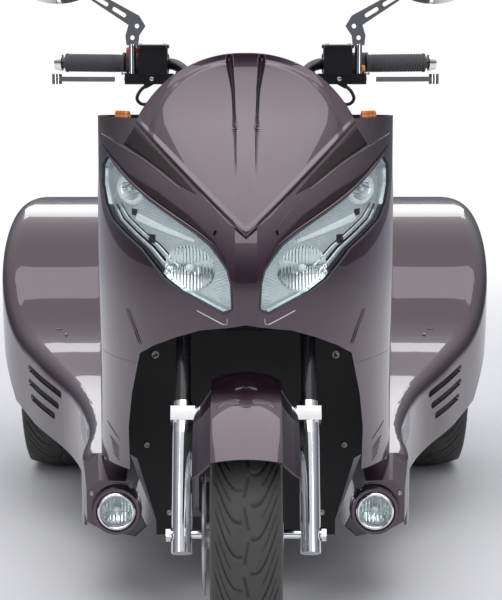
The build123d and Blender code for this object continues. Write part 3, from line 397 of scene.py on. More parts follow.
# A round or flattened section carried along a path
def carried(path, radius, sides=12, flat=1.0, closed=False):
    path = np.asarray(path, float)
    if closed:
        run = unit(np.roll(path, -1, 0) - np.roll(path, 1, 0))
    else:
        run = unit(np.gradient(path, axis=0))
    spread = np.ptp(path, axis=0) + 1e-6
    helper = np.eye(3)[np.argmin(spread)]
    side = unit(np.cross(run, helper))
    other = np.cross(side, run)
    angle = np.linspace(0, 2 * np.pi, sides, endpoint=False)
    cosine, sine = np.cos(angle)[None, :, None], np.sin(angle)[None, :, None]
    ring = cosine * side[:, None] + flat * sine * other[:, None]
    radius = np.broadcast_to(radius, (len(path),))
    points = path[:, None] + radius[:, None, None] * ring
    if not closed:
        points = np.concatenate([points[:1] * 0 + path[0], points, points[:1] * 0 + path[-1]])
    return gridFaces(points, roundRows=closed, roundCols=True)


# A smooth line through a few points, each stretch a cubic that keeps the neighbours' direction
def smoothRun(points, count):
    points = np.asarray(points, float)
    padded = np.concatenate([2 * points[:1] - points[1:2], points, 2 * points[-1:] - points[-2:-1]])
    along = np.linspace(0, len(points) - 1.000001, count)
    start = along.astype(int)
    t = (along - start)[:, None]
    a, b, c, d = (padded[start + k] for k in range(4))
    return 0.5 * (2 * b + (c - a) * t + (2 * a - 5 * b + 4 * c - d) * t**2 + (3 * b - a - 3 * c + d) * t**3)


# 0 at low and 1 at high, level at both ends. With low above high it falls instead
def smoothStep(value, low, high):
    share = np.clip((value - low) / (high - low), 0, 1)
    return share * share * (3 - 2 * share)


# The quads of a grid that a mask picks, with the points that nothing uses left out
def picked(points, mask):
    flat, quads = gridFaces(points)
    quads = quads[mask.ravel()]
    used, back = np.unique(quads, return_inverse=True)
    return flat[used], back.reshape(-1, 4)


# A flat block with rounded corners, raised through (height, inset) levels above a face
def slab(half, corner, levels, at, right, up, sides=6):
    right, up = unit(right), unit(up)
    away = np.cross(right, up)
    turn = np.linspace(0, np.pi / 2, sides)
    rows = []
    for height, inset in levels:
        r = max(corner - inset, 0.0002)
        a, b = half[0] - inset - r, half[1] - inset - r
        ring = np.concatenate([
            np.stack([sx * a + r * np.cos(turn + start), sy * b + r * np.sin(turn + start)], 1)
            for sx, sy, start in ((1, 1, 0), (-1, 1, np.pi / 2), (-1, -1, np.pi), (1, -1, 1.5 * np.pi))
        ])
        rows.append(np.asarray(at) + ring[:, :1] * right + ring[:, 1:] * up + height * away)
    ends = [np.zeros_like(rows[0]) + rows[k].mean(0) for k in (0, -1)]
    return gridFaces(np.stack([ends[0], *rows, ends[1]]), roundCols=True)


# One small shape set down many times: its points are turned by each frame and moved to each place
def repeated(part, places, rights, ups):
    points, faces = part
    places, rights, ups = np.asarray(places, float), unit(rights), unit(ups)
    turns = np.stack([rights, ups, np.cross(rights, ups)], 1)
    spots = points[None] @ turns + places[:, None]
    offsets = np.arange(len(places))[:, None, None] * len(points)
    return spots.reshape(-1, 3), (faces[None] + offsets).reshape(-1, 4)


# A line resampled to even steps along its length
def evenly(points, count):
    points = np.asarray(points, float)
    run = np.concatenate([[0], np.cumsum(np.linalg.norm(np.diff(points, axis=0), axis=1))])
    want = np.linspace(0, run[-1], count)
    return np.stack([np.interp(want, run, points[:, k]) for k in range(points.shape[1])], 1)


def mirrored(points):
    return points * np.array([-1.0, 1.0, 1.0])


# A part and its mirror image, with the faces turned so that they look outwards
def bothSides(part):
    points, faces = part
    return [part, (mirrored(points), faces[:, ::-1])]


# Tyres: the section's outline turned about the axle, lowered where a groove runs
frontY, frontZ = -0.894, 0.236
rearY, rearZ, rearX = 0.706, 0.280, 0.465
tyreSpecs = {
    "frontTyre": {
        "node": "front_tyre", "body": "front_wheel", "centre": (0, frontY, frontZ), "radius": 0.236,
        "half": 0.061, "rim": 0.1525, "drop": 0.022, "repeats": 26, "depth": 0.0048,
        "around": 624, "across": 84,
    },
    "rearTyreLeft": {"node": "rear_tyre_left", "body": "rear_wheel_left", "centre": (rearX, rearY, rearZ)},
    "rearTyreRight": {
        "node": "rear_tyre_right", "body": "rear_wheel_right", "centre": (-rearX, rearY, rearZ),
    },
}
for name in ("rearTyreLeft", "rearTyreRight"):
    tyreSpecs[name].update({
        "radius": 0.280, "half": 0.094, "rim": 0.1785, "drop": 0.012, "repeats": 30, "depth": 0.0055,
        "around": 540, "across": 62,
    })


# Sweeping grooves: a curve in the angle that bends back towards the shoulder, repeated round the wheel,
# a short one between each two, and a wavering line near the middle
def grooves(angle, across, spec):
    lateral = np.abs(across)
    side = np.where(across > 0, 0.5, 0.0)
    phase = angle * spec["repeats"] / (2 * np.pi) + side
    pitch = 2 * np.pi * spec["radius"] / spec["repeats"]
    bend = 0.55 * np.sin(lateral * 3.6) - 1.35 * lateral
    main = np.abs((phase + bend + 0.5) % 1 - 0.5) * pitch
    long = smoothStep(main, 0.0032, 0.0018)
    long = long * smoothStep(lateral, 0.10, 0.20) * smoothStep(lateral, 0.98, 0.86)
    small = np.abs((phase + bend + 1.0) % 1 - 0.5) * pitch
    short = smoothStep(small, 0.0022, 0.0010)
    short = short * smoothStep(lateral, 0.42, 0.50) * smoothStep(lateral, 0.92, 0.82)
    middle = np.abs(across - 0.07 * np.sin(angle * spec["repeats"] / 2))
    line = smoothStep(middle, 0.045, 0.022) * smoothStep(np.cos(angle * spec["repeats"]), -0.7, -0.3)
    return np.maximum(np.maximum(long, short * 0.8), line * 0.7)


for name, spec in tyreSpecs.items():
    radius, half, rim, drop = (spec[k] for k in ("radius", "half", "rim", "drop"))
    reach = radius - rim
    crown = np.linspace(1, -1, spec["across"])  # share of the tread's half width
    treadHalf = half * 0.93
    fall = drop * 1.15  # from the crown's middle to the shoulder
    treadR = radius - fall * np.abs(crown) ** 2.2
    wall = smoothRun([
        (treadHalf, radius - fall), (half * 0.985, radius - fall - reach * 0.16),
        (half, rim + reach * 0.42), (half * 0.93, rim + reach * 0.22), (half * 0.76, rim + 0.012),
        (half * 0.74, rim + 0.003), (half * 0.74, rim),
    ], 16)[1:]
    section = np.concatenate([
        np.stack([wall[::-1, 0], wall[::-1, 1]], 1), np.stack([crown * treadHalf, treadR], 1),
        np.stack([-wall[:, 0], wall[:, 1]], 1), [(-half * 0.6, rim), (half * 0.6, rim)],
    ])
    tread = slice(len(wall), len(wall) + len(crown))
    share, onTread = np.zeros(len(section)), np.zeros(len(section))
    share[tread], onTread[tread] = crown, 1.0
    angle = np.linspace(0, 2 * np.pi, spec["around"], endpoint=False)
    low = grooves(angle[:, None], share[None], spec) * onTread * spec["depth"]
    # Two raised rings and a scalloped band dress the side walls
    height = (section[:, 1] - rim) / reach
    scallops = 0.0008 * smoothStep(np.cos(angle[:, None] * spec["repeats"] * 2), -0.2, 0.2)
    rings = smoothStep(np.abs(height - 0.30), 0.03, 0.012) * 0.0010
    rings = rings + smoothStep(np.abs(height - 0.62), 0.05, 0.03) * scallops
    push = rings * (1 - onTread) * (np.abs(section[:, 0]) > half * 0.75)
    across = np.broadcast_to(section[:, 0], low.shape) + np.sign(section[:, 0]) * push
    out = section[:, 1] - low
    points = np.stack([
        spec["centre"][0] + across, spec["centre"][1] + out * np.sin(angle)[:, None],
        spec["centre"][2] + out * np.cos(angle)[:, None],
    ], -1)
    skin = gridFaces(points, roundRows=True, roundCols=True)
    piece(name, skin, "tyreRubber", spec["body"], [spec["node"]])
print("tyres")


# A node's triangles as an array of three corners each
def triangles(node):
    mesh = nodes[node].data
    mesh.calc_loop_triangles()
    corners = np.empty(len(mesh.loop_triangles) * 3, int)
    mesh.loop_triangles.foreach_get("vertices", corners)
    return pointsOf(mesh)[corners.reshape(-1, 3)]


# The fairing's depth at any place in front view, from the CAD nodes' own outer faces by least squares:
# powers of the distance outside the flat centre strip times powers of the height
fairing = {"strip": 0.019, "scale": 0.2, "middle": 0.85}


def fittedDepth(names, order):
    faces = np.concatenate([triangles(name) for name in names])
    a, b, c = faces[:, 0], faces[:, 1], faces[:, 2]
    facing = unit(np.cross(b - a, c - a) + 1e-15)
    ahead = faces[(facing[:, 1] < -0.12) & (facing[:, 2] > -0.80)].reshape(-1, 3)
    powers = [(i, j) for i in range(order + 1) for j in range(order + 1 - i)]

    def terms(x, z):
        beside = np.maximum(np.abs(x) - fairing["strip"], 0) / fairing["scale"]
        level = (z - fairing["middle"]) / fairing["scale"]
        return np.stack([beside**i * level**j for i, j in powers], -1)

    weights = np.linalg.lstsq(terms(ahead[:, 0], ahead[:, 2]), ahead[:, 1], rcond=None)[0]
    off = np.abs(terms(ahead[:, 0], ahead[:, 2]) @ weights - ahead[:, 1])
    print("fit", names, "mean and worst in mm", (off.mean() * 1000).round(2), (off.max() * 1000).round(2))
    return lambda x, z: terms(np.asarray(x, float), np.asarray(z, float)) @ weights


# Where a line along one axis first meets a node, for places given by the other two
def meets(node, axis, first, second, farSide=False):
    others = [k for k in range(3) if k != axis]
    faces = triangles(node)
    (ax, az), (bx, bz), (cx, cz) = (faces[:, k][:, others].T for k in range(3))
    px, pz = np.ravel(first)[:, None], np.ravel(second)[:, None]
    area = (bx - ax) * (cz - az) - (cx - ax) * (bz - az)
    area = np.where(np.abs(area) < 1e-14, 1e-14, area)
    shareB = ((px - ax) * (cz - az) - (cx - ax) * (pz - az)) / area
    shareC = ((bx - ax) * (pz - az) - (px - ax) * (bz - az)) / area
    inside = (shareB > -1e-4) & (shareC > -1e-4) & (shareB + shareC < 1.0001)
    shareA = 1 - shareB - shareC
    depth = faces[:, 0, axis] * shareA + faces[:, 1, axis] * shareB + faces[:, 2, axis] * shareC
    missed = -np.inf if farSide else np.inf
    depth = np.where(inside, depth, missed)
    return (depth.max(1) if farSide else depth.min(1)).reshape(np.shape(first))


# One such place, met from the front or from the rider's side
def depthOf(node, x, z, farSide=False):
    return meets(node, 1, np.array([x]), np.array([z]), farSide)[0]


# Points on the fairing, moved out along its own facing
def onFairing(x, z, lift=0.0):
    step = 0.001
    away = np.stack([
        (cowlDepth(x + step, z) - cowlDepth(x - step, z)) / (2 * step), -np.ones_like(x),
        (cowlDepth(x, z + step) - cowlDepth(x, z - step)) / (2 * step),
    ], -1)
    return np.stack([x, cowlDepth(x, z), z], -1) + unit(away) * np.asarray(lift)[..., None]


cowlDepth = fittedDepth(["front_cowl", "headlamp_lenses"], 9)

# Hood: a leaf with two raised fields, a rolled lip along the V and sunken wedges either side of a band,
# darkened by painted shade strips below
hoodSpec = {
    "tip": 0.765, "corner": (0.205, 0.950), "top": 1.078, "shoulder": (0.121, 1.046), "field": 0.0085,
    "lip": 0.0050, "lipWidth": 0.016, "wedge": 0.0085, "rings": 86,
}
hoodDepth = fittedDepth(["hood"], 8)


def arcThrough(a, b, c, count):
    # centre of the circle through three points, then equal turns from the first to the last
    (ax, ay), (bx, by), (cx, cy) = a, b, c
    d = 2 * (ax * (by - cy) + bx * (cy - ay) + cx * (ay - by))
    ux = ((ax**2 + ay**2) * (by - cy) + (bx**2 + by**2) * (cy - ay) + (cx**2 + cy**2) * (ay - by)) / d
    uy = ((ax**2 + ay**2) * (cx - bx) + (bx**2 + by**2) * (ax - cx) + (cx**2 + cy**2) * (bx - ax)) / d
    first, last = math.atan2(ay - uy, ax - ux), math.atan2(cy - uy, cx - ux)
    turn = np.linspace(first, last, count)
    size = math.hypot(ax - ux, ay - uy)
    return np.stack([ux + size * np.cos(turn), uy + size * np.sin(turn)], 1)


# Half the band's width at a height: where each crease runs
def creaseAt(z):
    return np.interp(z, (0.765, 0.865, 0.94, 1.011, 1.065), (0.0165, 0.0175, 0.0195, 0.023, 0.030))


tip, top = (0.0, hoodSpec["tip"]), (0.0, hoodSpec["top"])
corner, shoulder = hoodSpec["corner"], hoodSpec["shoulder"]
rightRim = np.concatenate([
    np.linspace(tip, corner, 96)[:-1], arcThrough(corner, shoulder, top, 124),
])
rim = np.concatenate([rightRim, (rightRim * [-1, 1])[-2:0:-1]])
middle = np.array([0.0, 0.945])
out = np.linspace(0, 1, hoodSpec["rings"])[:, None, None] ** 0.75
flat = middle + (rim - middle)[None] * out
x, z = flat[..., 0], flat[..., 1]
side = np.sqrt(x**2 + 0.004**2) - 0.004  # distance from the middle, rounded where the two sides meet
vRun = np.array(corner) - np.array(tip)
fromV = (z - hoodSpec["tip"] - side * vRun[1] / vRun[0]) * vRun[0] / np.hypot(*vRun)
# The lip is half a wave high across its width, and fades towards the corners
wave = np.clip(fromV / hoodSpec["lipWidth"], 0, 1)
relief = hoodSpec["lip"] * np.sin(np.pi * wave) ** 2 * smoothStep(z, 1.00, 0.90)
# Each field rises inside an outline that leaves a border along the top arc
border = np.hypot(x / 0.176, (z - 0.930) / 0.136)
field = smoothStep(border, 1.02, 0.95) * smoothStep(z, 0.84, 0.95)
wedgeWidth = np.interp(z, (0.80, 0.90, 1.0, 1.04, 1.062), (0.0010, 0.0014, 0.0028, 0.0050, 0.0066))
outside = np.abs(x) - creaseAt(z)
field = field * smoothStep(outside, wedgeWidth * 0.2, wedgeWidth * 1.3)
relief += hoodSpec["field"] * field
wedge = smoothStep(np.abs(outside), wedgeWidth, wedgeWidth * 0.25)
relief -= hoodSpec["wedge"] * wedge * smoothStep(z, 0.80, 1.03) * smoothStep(z, 1.076, 1.068)
relief += 0.0012 * smoothStep(outside, 0.0, -0.004) * smoothStep(z, 0.80, 0.9)
points = np.stack([x, hoodDepth(x, z) - relief - 0.0003, z], -1)
hoodSkin = gridFaces(points, roundCols=True)
piece("hoodSkin", hoodSkin, "bodyPaint", stands=["hood"], thick=0.003)

# Painted shade in the wedges: thin near-black strips laid on their floors
run = np.linspace(0.885, 1.064, 60)
width = np.interp(run, (0.885, 1.0, 1.04, 1.064), (0.0008, 0.0018, 0.0034, 0.0040))
across = np.linspace(-1, 1, 7)
x = creaseAt(run)[:, None] + width[:, None] * across
z = np.broadcast_to(run[:, None], x.shape)
floorDrop = hoodSpec["wedge"] * smoothStep(z, 0.80, 1.03) - 0.0009
strip = np.stack([x, hoodDepth(x, z) + floorDrop, z], -1)
piece("hoodWedgeShades", bothSides(gridFaces(strip)), "paintedShade", thick=0.0004)
print("hood")


# A ruled sheet between two lines on the fairing, given in front view
def sheetOn(upper, lower, lift, count=100, rows=9):
    top, low = evenly(upper, count), evenly(lower, count)
    share = np.linspace(0, 1, rows)[None, :, None]
    flat = low[:, None] * (1 - share) + top[:, None] * share
    return gridFaces(onFairing(flat[..., 0], flat[..., 1], lift))


# Cheeks: painted shade as near-black sheets in the hollow beside the hood and in the one over the lamp, and
# the bright edge above the cover
cheekSpec = {
    "hoodEdge": [(0.205, 0.943), (0.178, 0.917), (0.147, 0.889), (0.114, 0.860), (0.088, 0.834)],
    "firstCrease": [(0.226, 0.910), (0.178, 0.885), (0.150, 0.868), (0.118, 0.846), (0.088, 0.832)],
    "secondCrease": [
        (0.276, 0.908), (0.216, 0.860), (0.155, 0.831), (0.098, 0.795), (0.054, 0.757), (0.036, 0.716),
    ],
    "lampEdge": [
        (0.262, 0.894), (0.219, 0.856), (0.177, 0.827), (0.128, 0.798), (0.084, 0.773), (0.055, 0.752),
        (0.036, 0.729),
    ],
    "browEdge": [
        (0.262, 0.888), (0.243, 0.876), (0.217, 0.853), (0.176, 0.824), (0.128, 0.796), (0.086, 0.772),
        (0.056, 0.751),
    ],
    "browTop": [(0.270, 0.925), (0.227, 0.906), (0.176, 0.880), (0.133, 0.852), (0.112, 0.837)],
}
# Painted shade sheets between the hood's edge and the first crease, and between the second crease and the
# lamp's edge
shades = bothSides(sheetOn(cheekSpec["hoodEdge"], cheekSpec["firstCrease"], 0.0006))
shades += bothSides(sheetOn(cheekSpec["secondCrease"], cheekSpec["lampEdge"], 0.0006))
piece("cheekPaintedShades", shades, "paintedShade", thick=0.0004)


def ridge(line, radius, flat, lift, count=90):
    # a tapering half-round bead that follows a line on the fairing
    line = smoothRun(line, count)
    taper = np.sin(np.pi * np.linspace(0.02, 0.98, count)) ** 0.4
    return carried(onFairing(line[:, 0], line[:, 1], lift), radius * taper, 12, flat)


ridges = bothSides(ridge(cheekSpec["browEdge"], 0.0042, 0.55, -0.0006))
ridges += bothSides(ridge(cheekSpec["browTop"], 0.0035, 0.5, 0.0040))
piece("cheekRidges", ridges, "bodyPaint")
print("cheeks")

# Grips: ribbed sleeves, with a thicker flange against the switches
gripSpec = {
    "inner": 0.232, "outer": 0.350, "radius": 0.0172, "bore": 0.0114, "ribs": 22, "rib": 0.0009,
    "innerFlange": 0.0045, "outerFlange": 0.0015,
}
# The bar's centre line runs from its bend to its end, a little forward of its rearmost point
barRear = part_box("handlebar")[1][1]
barStart, barEnd = np.array([0.130, barRear - 0.043, 1.056]), np.array([0.356, barRear - 0.011, 1.058])
gripAt = barStart + (barEnd - barStart) * (gripSpec["inner"] - barStart[0]) / (barEnd[0] - barStart[0])
along = np.linspace(0, gripSpec["outer"] - gripSpec["inner"], 260)
last = along[-1]
ribs = gripSpec["rib"] * smoothStep(np.sin(along * 2 * np.pi * gripSpec["ribs"] / last), -0.3, 0.5)
ribs = ribs * smoothStep(along, 0.010, 0.014) * smoothStep(along, last - 0.006, last - 0.010)
flange = gripSpec["innerFlange"] * smoothStep(along, 0.0055, 0.0045)
flange = flange + gripSpec["outerFlange"] * smoothStep(along, last - 0.006, last - 0.004)
sleeve = np.stack([along, gripSpec["radius"] - 0.0006 + ribs + flange], 1)
bore = gripSpec["bore"]
sleeve = np.concatenate([[(0, bore)], sleeve, [(last, bore), (0, bore)]])
sleeves = bothSides(turned(sleeve, gripAt, unit(barEnd - barStart), 40))
piece("gripSleeves", sleeves, "gripRubber", "steering", stands=["grips"])
print("grips")


# A paraboloid that opens forwards, its wall rippled by upright flutes
def bowl(centre, radius, deep, flutes, segments=72, rows=24):
    share = np.linspace(0.0, 1, rows)[:, None]
    angle = np.linspace(0, 2 * np.pi, segments, endpoint=False)[None]
    x = centre[0] + radius * share * np.cos(angle)
    z = centre[2] + radius * share * np.sin(angle)
    ripple = 0.0012 * np.sin((x - centre[0]) * flutes * np.pi / radius) * share
    y = centre[1] + deep * (1 - share**2) + ripple
    return gridFaces(np.stack([x, y, z], -1), roundCols=True)


# Headlamp inside: one lining between the cover's two edges, sunk below the cover along the
# fairing's facing, with a fluted bowl, a ringed position lamp, a slanting bar and stepped strips
lampSpec = {
    "lower": [
        (0.259, 0.889), (0.272, 0.868), (0.272, 0.834), (0.262, 0.800), (0.247, 0.774), (0.217, 0.752),
        (0.186, 0.731), (0.167, 0.710), (0.142, 0.683), (0.115, 0.666), (0.080, 0.651), (0.038, 0.632),
    ],
    "upper": [
        (0.259, 0.889), (0.241, 0.870), (0.215, 0.848), (0.174, 0.818), (0.126, 0.790), (0.087, 0.767),
        (0.063, 0.749), (0.046, 0.728), (0.032, 0.708), (0.026, 0.684), (0.024, 0.641), (0.038, 0.632),
    ],
    "sink": 0.008, "main": (0.106, 0.706, 0.046), "small": (0.221, 0.834, 0.027),
    "bar": ((0.205, 0.786), (0.096, 0.756)), "barHalf": (0.0075, 0.0035), "long": 264, "wide": 92,
}
share = np.linspace(0.015, 0.985, lampSpec["wide"])[None, :, None]
low, high = (evenly(lampSpec[k], lampSpec["long"]) for k in ("lower", "upper"))
flat = (low[:, None] * (1 - share) + high[:, None] * share)[3:-3]
x, z = flat[..., 0], flat[..., 1]
v = np.broadcast_to(share[..., 0], x.shape)
u = np.broadcast_to(np.linspace(0, 1, lampSpec["long"])[3:-3, None], x.shape)
mx, mz, mr = lampSpec["main"]
sx, sz, sr = lampSpec["small"]
(ax, az), (bx, bz) = lampSpec["bar"]
mainOut = np.hypot(x - mx, (z - mz) / 0.9) / mr
smallOut = np.hypot(x - sx, z - sz) / sr
barRun = ((x - ax) * (bx - ax) + (z - az) * (bz - az)) / ((bx - ax) ** 2 + (bz - az) ** 2)
barHalf = np.interp(barRun, (0, 1), lampSpec["barHalf"])
barOut = np.hypot(x - ax - (bx - ax) * barRun, z - az - (bz - az) * barRun) / barHalf
barOut = np.where((barRun > -0.02) & (barRun < 1.02), barOut, 9.0)
sunk = lampSpec["sink"] * smoothStep(v, 0.0, 0.05) * smoothStep(v, 1.0, 0.95) + 0.0042
sunk = sunk - 0.0040 * smoothStep(np.abs(smallOut - 0.86), 0.17, 0.08)
sunk = sunk - 0.0030 * smoothStep(barOut, 1.05, 0.7)
steps = ((v > 0.06) & (v < 0.13)) | ((v > 0.19) & (v < 0.27))
stepRun = (u > 0.28) & (u < 0.66)
sunk = sunk - 0.0022 * steps * stepRun
# How far each place lies behind that: the bowls' depth, and the flutes in the bowl and the lining
back = 0.021 * np.clip(1 - mainOut**2, 0, 1)
back = back + 0.0010 * np.sin((x - mx) * 15 * np.pi / mr) * smoothStep(mainOut, 1.0, 0.9)
back = back + 0.012 * np.clip(1 - (smallOut / 0.70) ** 2, 0, 1)
clearOf = smoothStep(mainOut, 1.0, 1.1) * smoothStep(barOut, 1.0, 1.3)
back = back + 0.0006 * np.sin(u * 420) * (v > 0.45) * clearOf
lining = onFairing(x, z, -sunk)
lining[..., 1] += back


# A grid of values at the middles of its quads
def quadMean(values):
    return (values[1:, 1:] + values[1:, :-1] + values[:-1, 1:] + values[:-1, :-1]) / 4


ringHere = np.abs(quadMean(smallOut) - 0.86) < 0.15
smallHere = quadMean(smallOut) < 0.71
mainHere = quadMean(mainOut) < 0.99
barHere = quadMean(barOut) < 1.0
qx, qz, qu, qv = quadMean(x), quadMean(z), quadMean(u), quadMean(v)


def patchAt(x, z, halfX, halfZ):
    return (np.abs(qx - x) < halfX) & (np.abs(qz - z) < halfZ)


# Painted shade: near-black patches in the gaps beside the stepped strips, along the lining's sunk edge and
# at two small spots
gapShadeHere = ((qv > 0.13) & (qv < 0.19)) | ((qv > 0.27) & (qv < 0.30)) | (qv < 0.05)
gapShadeHere = gapShadeHere & (qu > 0.25) & (qu < 0.70)
gapShadeHere |= patchAt(0.212, 0.795, 0.006, 0.006) | patchAt(0.176, 0.752, 0.006, 0.008)
redHere = patchAt(0.219, 0.8465, 0.0070, 0.0050)
taken = np.zeros(qx.shape, bool)
# Each row takes its places from what the rows above it left
looks = (
    ("lampRed", redHere, "redLens"), ("lampRings", ringHere, "whiteRing"),
    ("lampSmallBowls", smallHere, "reflector"), ("lampBars", barHere, "whiteRing"),
    ("lampMainBowls", mainHere, "reflector"), ("lampGapShades", gapShadeHere, "paintedShade"),
    ("lampLinings", np.ones(qx.shape, bool), "lampSilver"),
)
for name, mask, look in looks:
    stands = ["headlamp_bowls"] if name == "lampLinings" else []
    piece(name, bothSides(picked(lining, mask & ~taken)), look, stands=stands)
    taken |= mask
mainAt = onFairing(np.array(mx), np.array(mz), -0.012)
smallAt = onFairing(np.array(sx), np.array(sz), -0.010)
bulbLine = [(0.018, 0.0), (0.018, 0.0075), (0.004, 0.0075), (-0.001, 0.006), (-0.004, 0.0)]
bulbs = bothSides(turned(bulbLine, mainAt + [0, 0.006, 0], (0, 1, 0), 32))
bulbs += bothSides(turned(np.array(bulbLine) * 0.6, smallAt + [0, 0.004, 0], (0, 1, 0), 28))
piece("lampBulbs", bulbs, "whiteRing")

# A dark rubber seal runs round each cover, and a thin bright trim under its point
sealLine = np.concatenate([np.array(lampSpec["lower"]), np.array(lampSpec["upper"])[-2:0:-1]])
sealLine = evenly(np.concatenate([sealLine, sealLine[:1]]), 261)[:-1]
seal = carried(onFairing(sealLine[:, 0], sealLine[:, 1], 0.0002), 0.0022, 8, 0.8, closed=True)
piece("lampSeals", bothSides(seal), "gripRubber")
trimLine = evenly([(0.086, 0.634), (0.040, 0.613), (0.033, 0.613), (0.032, 0.624)], 60)
trim = carried(onFairing(trimLine[:, 0], trimLine[:, 1], 0.0003), 0.0012, 8)
piece("chinTrims", bothSides(trim), "boltSteel")
print("headlamps")

# Fog lamps: chrome bezel, domed glass, a bright bowl and its bulb
fogSpec = {"at": (0.249, 0.202), "radius": 0.039, "glass": 0.029}
fx, fz = fogSpec["at"]
fr, gr = fogSpec["radius"], fogSpec["glass"]
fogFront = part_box("fog_lamps")[0][1]
bezel = smoothRun([
    (0.052, 0.022), (0.020, fr - 0.002), (0.016, fr), (0.008, fr), (0.003, fr - 0.002),
    (0.000, fr - 0.0055), (0.002, gr + 0.001), (0.008, gr - 0.001), (0.012, gr - 0.002), (0.050, 0.018),
], 44)
bezel = np.concatenate([bezel, bezel[:1]])
fogCentre = (fx, fogFront, fz)
bezels = bothSides(turned(bezel, fogCentre, (0, 1, 0), 72))
piece("fogBezels", bezels, "chrome", stands=["fog_lamps"])
dome = [(0.0015 + 0.005 * t**2, gr * t) for t in np.linspace(0, 1, 18)]
dome += [(0.0035 + 0.005 * t**2, gr * t) for t in np.linspace(1, 0, 18)]
piece("fogGlasses", bothSides(turned(dome, fogCentre, (0, 1, 0), 64)), "fogGlass")
fogBowls = bothSides(bowl((fx, fogFront + 0.010, fz), gr, 0.018, 9))
piece("fogBowls", fogBowls, "reflector")
fogBulbs = bothSides(turned(np.array(bulbLine) * 0.9, (fx, fogFront + 0.016, fz), (0, 1, 0), 28))
piece("fogBulbs", fogBulbs, "whiteRing")

# Pods: a gloss shade spreads from the lamp to the pod's outline on its outer side
edges = np.array([
    (0.232, 0.256), (0.284, 0.258), (0.308, 0.240), (0.308, 0.176), (0.280, 0.160), (0.214, 0.146),
    (0.192, 0.166), (0.232, 0.256),
])
turn = np.linspace(0, 2 * np.pi, 120, endpoint=False)[:, None]
# how far each direction from the lamp's middle runs before it meets the pod's outline
ex, ez = np.diff(edges, axis=0).T
wx, wz = edges[:-1, 0] - fx, edges[:-1, 1] - fz
cross = np.cos(turn) * ez - np.sin(turn) * ex
run = (wx * ez - wz * ex) / cross
place = (wx * np.sin(turn) - wz * np.cos(turn)) / cross
run = np.where((run > 0) & (place >= 0) & (place <= 1), run, np.inf).min(1)[:, None]
inner = smoothStep(-np.cos(turn - 0.35), 0.05, 0.45)
reach = np.minimum(0.050 * (1 - inner) + (run - 0.001) * inner, run - 0.001)
spread = fr + 0.0015 + (reach - fr - 0.0015) * np.linspace(0, 1, 8)
podY = depthOf("lamp_pods", 0.298, 0.21)
shadeY = np.full(spread.shape, podY - 0.0007)
shade = np.stack([fx + spread * np.cos(turn), shadeY, fz + spread * np.sin(turn)], -1)
shades = bothSides(gridFaces(shade, roundRows=True))
piece("podShades", shades, "blackGloss", thick=0.0005)
foot = podY - fogFront - 0.001
collar = [
    (foot, fr + 0.001), (0.010, fr + 0.001), (0.007, fr + 0.003), (0.012, fr + 0.006), (foot, fr + 0.009),
    (foot, fr + 0.001),
]
piece("fogCollars", bothSides(turned(collar, fogCentre, (0, 1, 0), 64)), "blackGloss")
print("fog lamps")


# Screws: a low head with a six-sided recess, set on a face by its outward direction
def screw(centre, direction, radius):
    line = np.array([(0.35, 1.0), (0.60, 0.86), (0.60, 0.50), (0.25, 0.42), (0.25, 0.0)]) * radius
    return turned(np.concatenate([[(-0.002, 0.0), (-0.002, radius)], line]), centre, direction, 18)


def screwOn(node, x, z, radius, farSide=False):
    return screw((x, depthOf(node, x, z, farSide), z), (0, 1 if farSide else -1, 0), radius)


# Columns: node that carries it, place in front view, head radius
frontScrews = [
    ("splash_panel", 0.176, 0.497, 0.0085), ("splash_panel", 0.193, 0.318, 0.0060),
    ("splash_panel", 0.150, 0.180, 0.0060), ("lamp_pods", 0.298, 0.232, 0.0045),
    ("side_bodies", 0.417, 0.421, 0.0040),
]
screws = [part for row in frontScrews for part in bothSides(screwOn(*row))]
piece("frontScrews", screws, "boltSteel")

# A short slot on each side body, where its face leans back
slotAt = (0.436, depthOf("side_bodies", 0.436, 0.431), 0.431)
slotLevels = [(-0.002, 0), (0.0006, 0), (0.0009, 0.0006)]
slots = bothSides(slab((0.008, 0.0028), 0.0026, slotLevels, slotAt, (1, 0, 0), (0, 0.90, 0.43)))
piece("bodySlots", slots, "blackGloss")

# Louvres: slanting dark lines pressed into the lower cowl beside the splash panel
# Columns: outer end, inner end
louvreLines = [
    ((0.268, 0.372), (0.242, 0.346)), ((0.262, 0.344), (0.243, 0.325)), ((0.260, 0.334), (0.243, 0.317)),
    ((0.258, 0.324), (0.243, 0.309)), ((0.256, 0.314), (0.243, 0.301)),
]
louvres = []
for outer, inner in louvreLines:
    line = np.linspace(outer, inner, 14)
    y = meets("lower_cowls", 1, line[:, 0], line[:, 1])
    taper = 0.0019 * np.sin(np.pi * np.linspace(0.08, 0.92, 14)) ** 0.5
    louvres += bothSides(carried(np.stack([line[:, 0], y, line[:, 1]], 1), taper, 8, 0.7))
piece("louvres", louvres, "blackGloss")

# The chin's slanting joint: a dark seam with a painted bead beside it
seamLine = smoothRun([(0.213, 0.618), (0.206, 0.599), (0.198, 0.579), (0.190, 0.556)], 40)
seam = carried(onFairing(seamLine[:, 0], seamLine[:, 1]), 0.0014, 8, 0.7)
piece("chinSeams", bothSides(seam), "blackGloss")
beside = onFairing(seamLine[:, 0] + 0.0045, seamLine[:, 1], -0.0006)
piece("chinBeads", bothSides(carried(beside, 0.0026, 8, 0.6)), "bodyPaint")
print("small front parts")

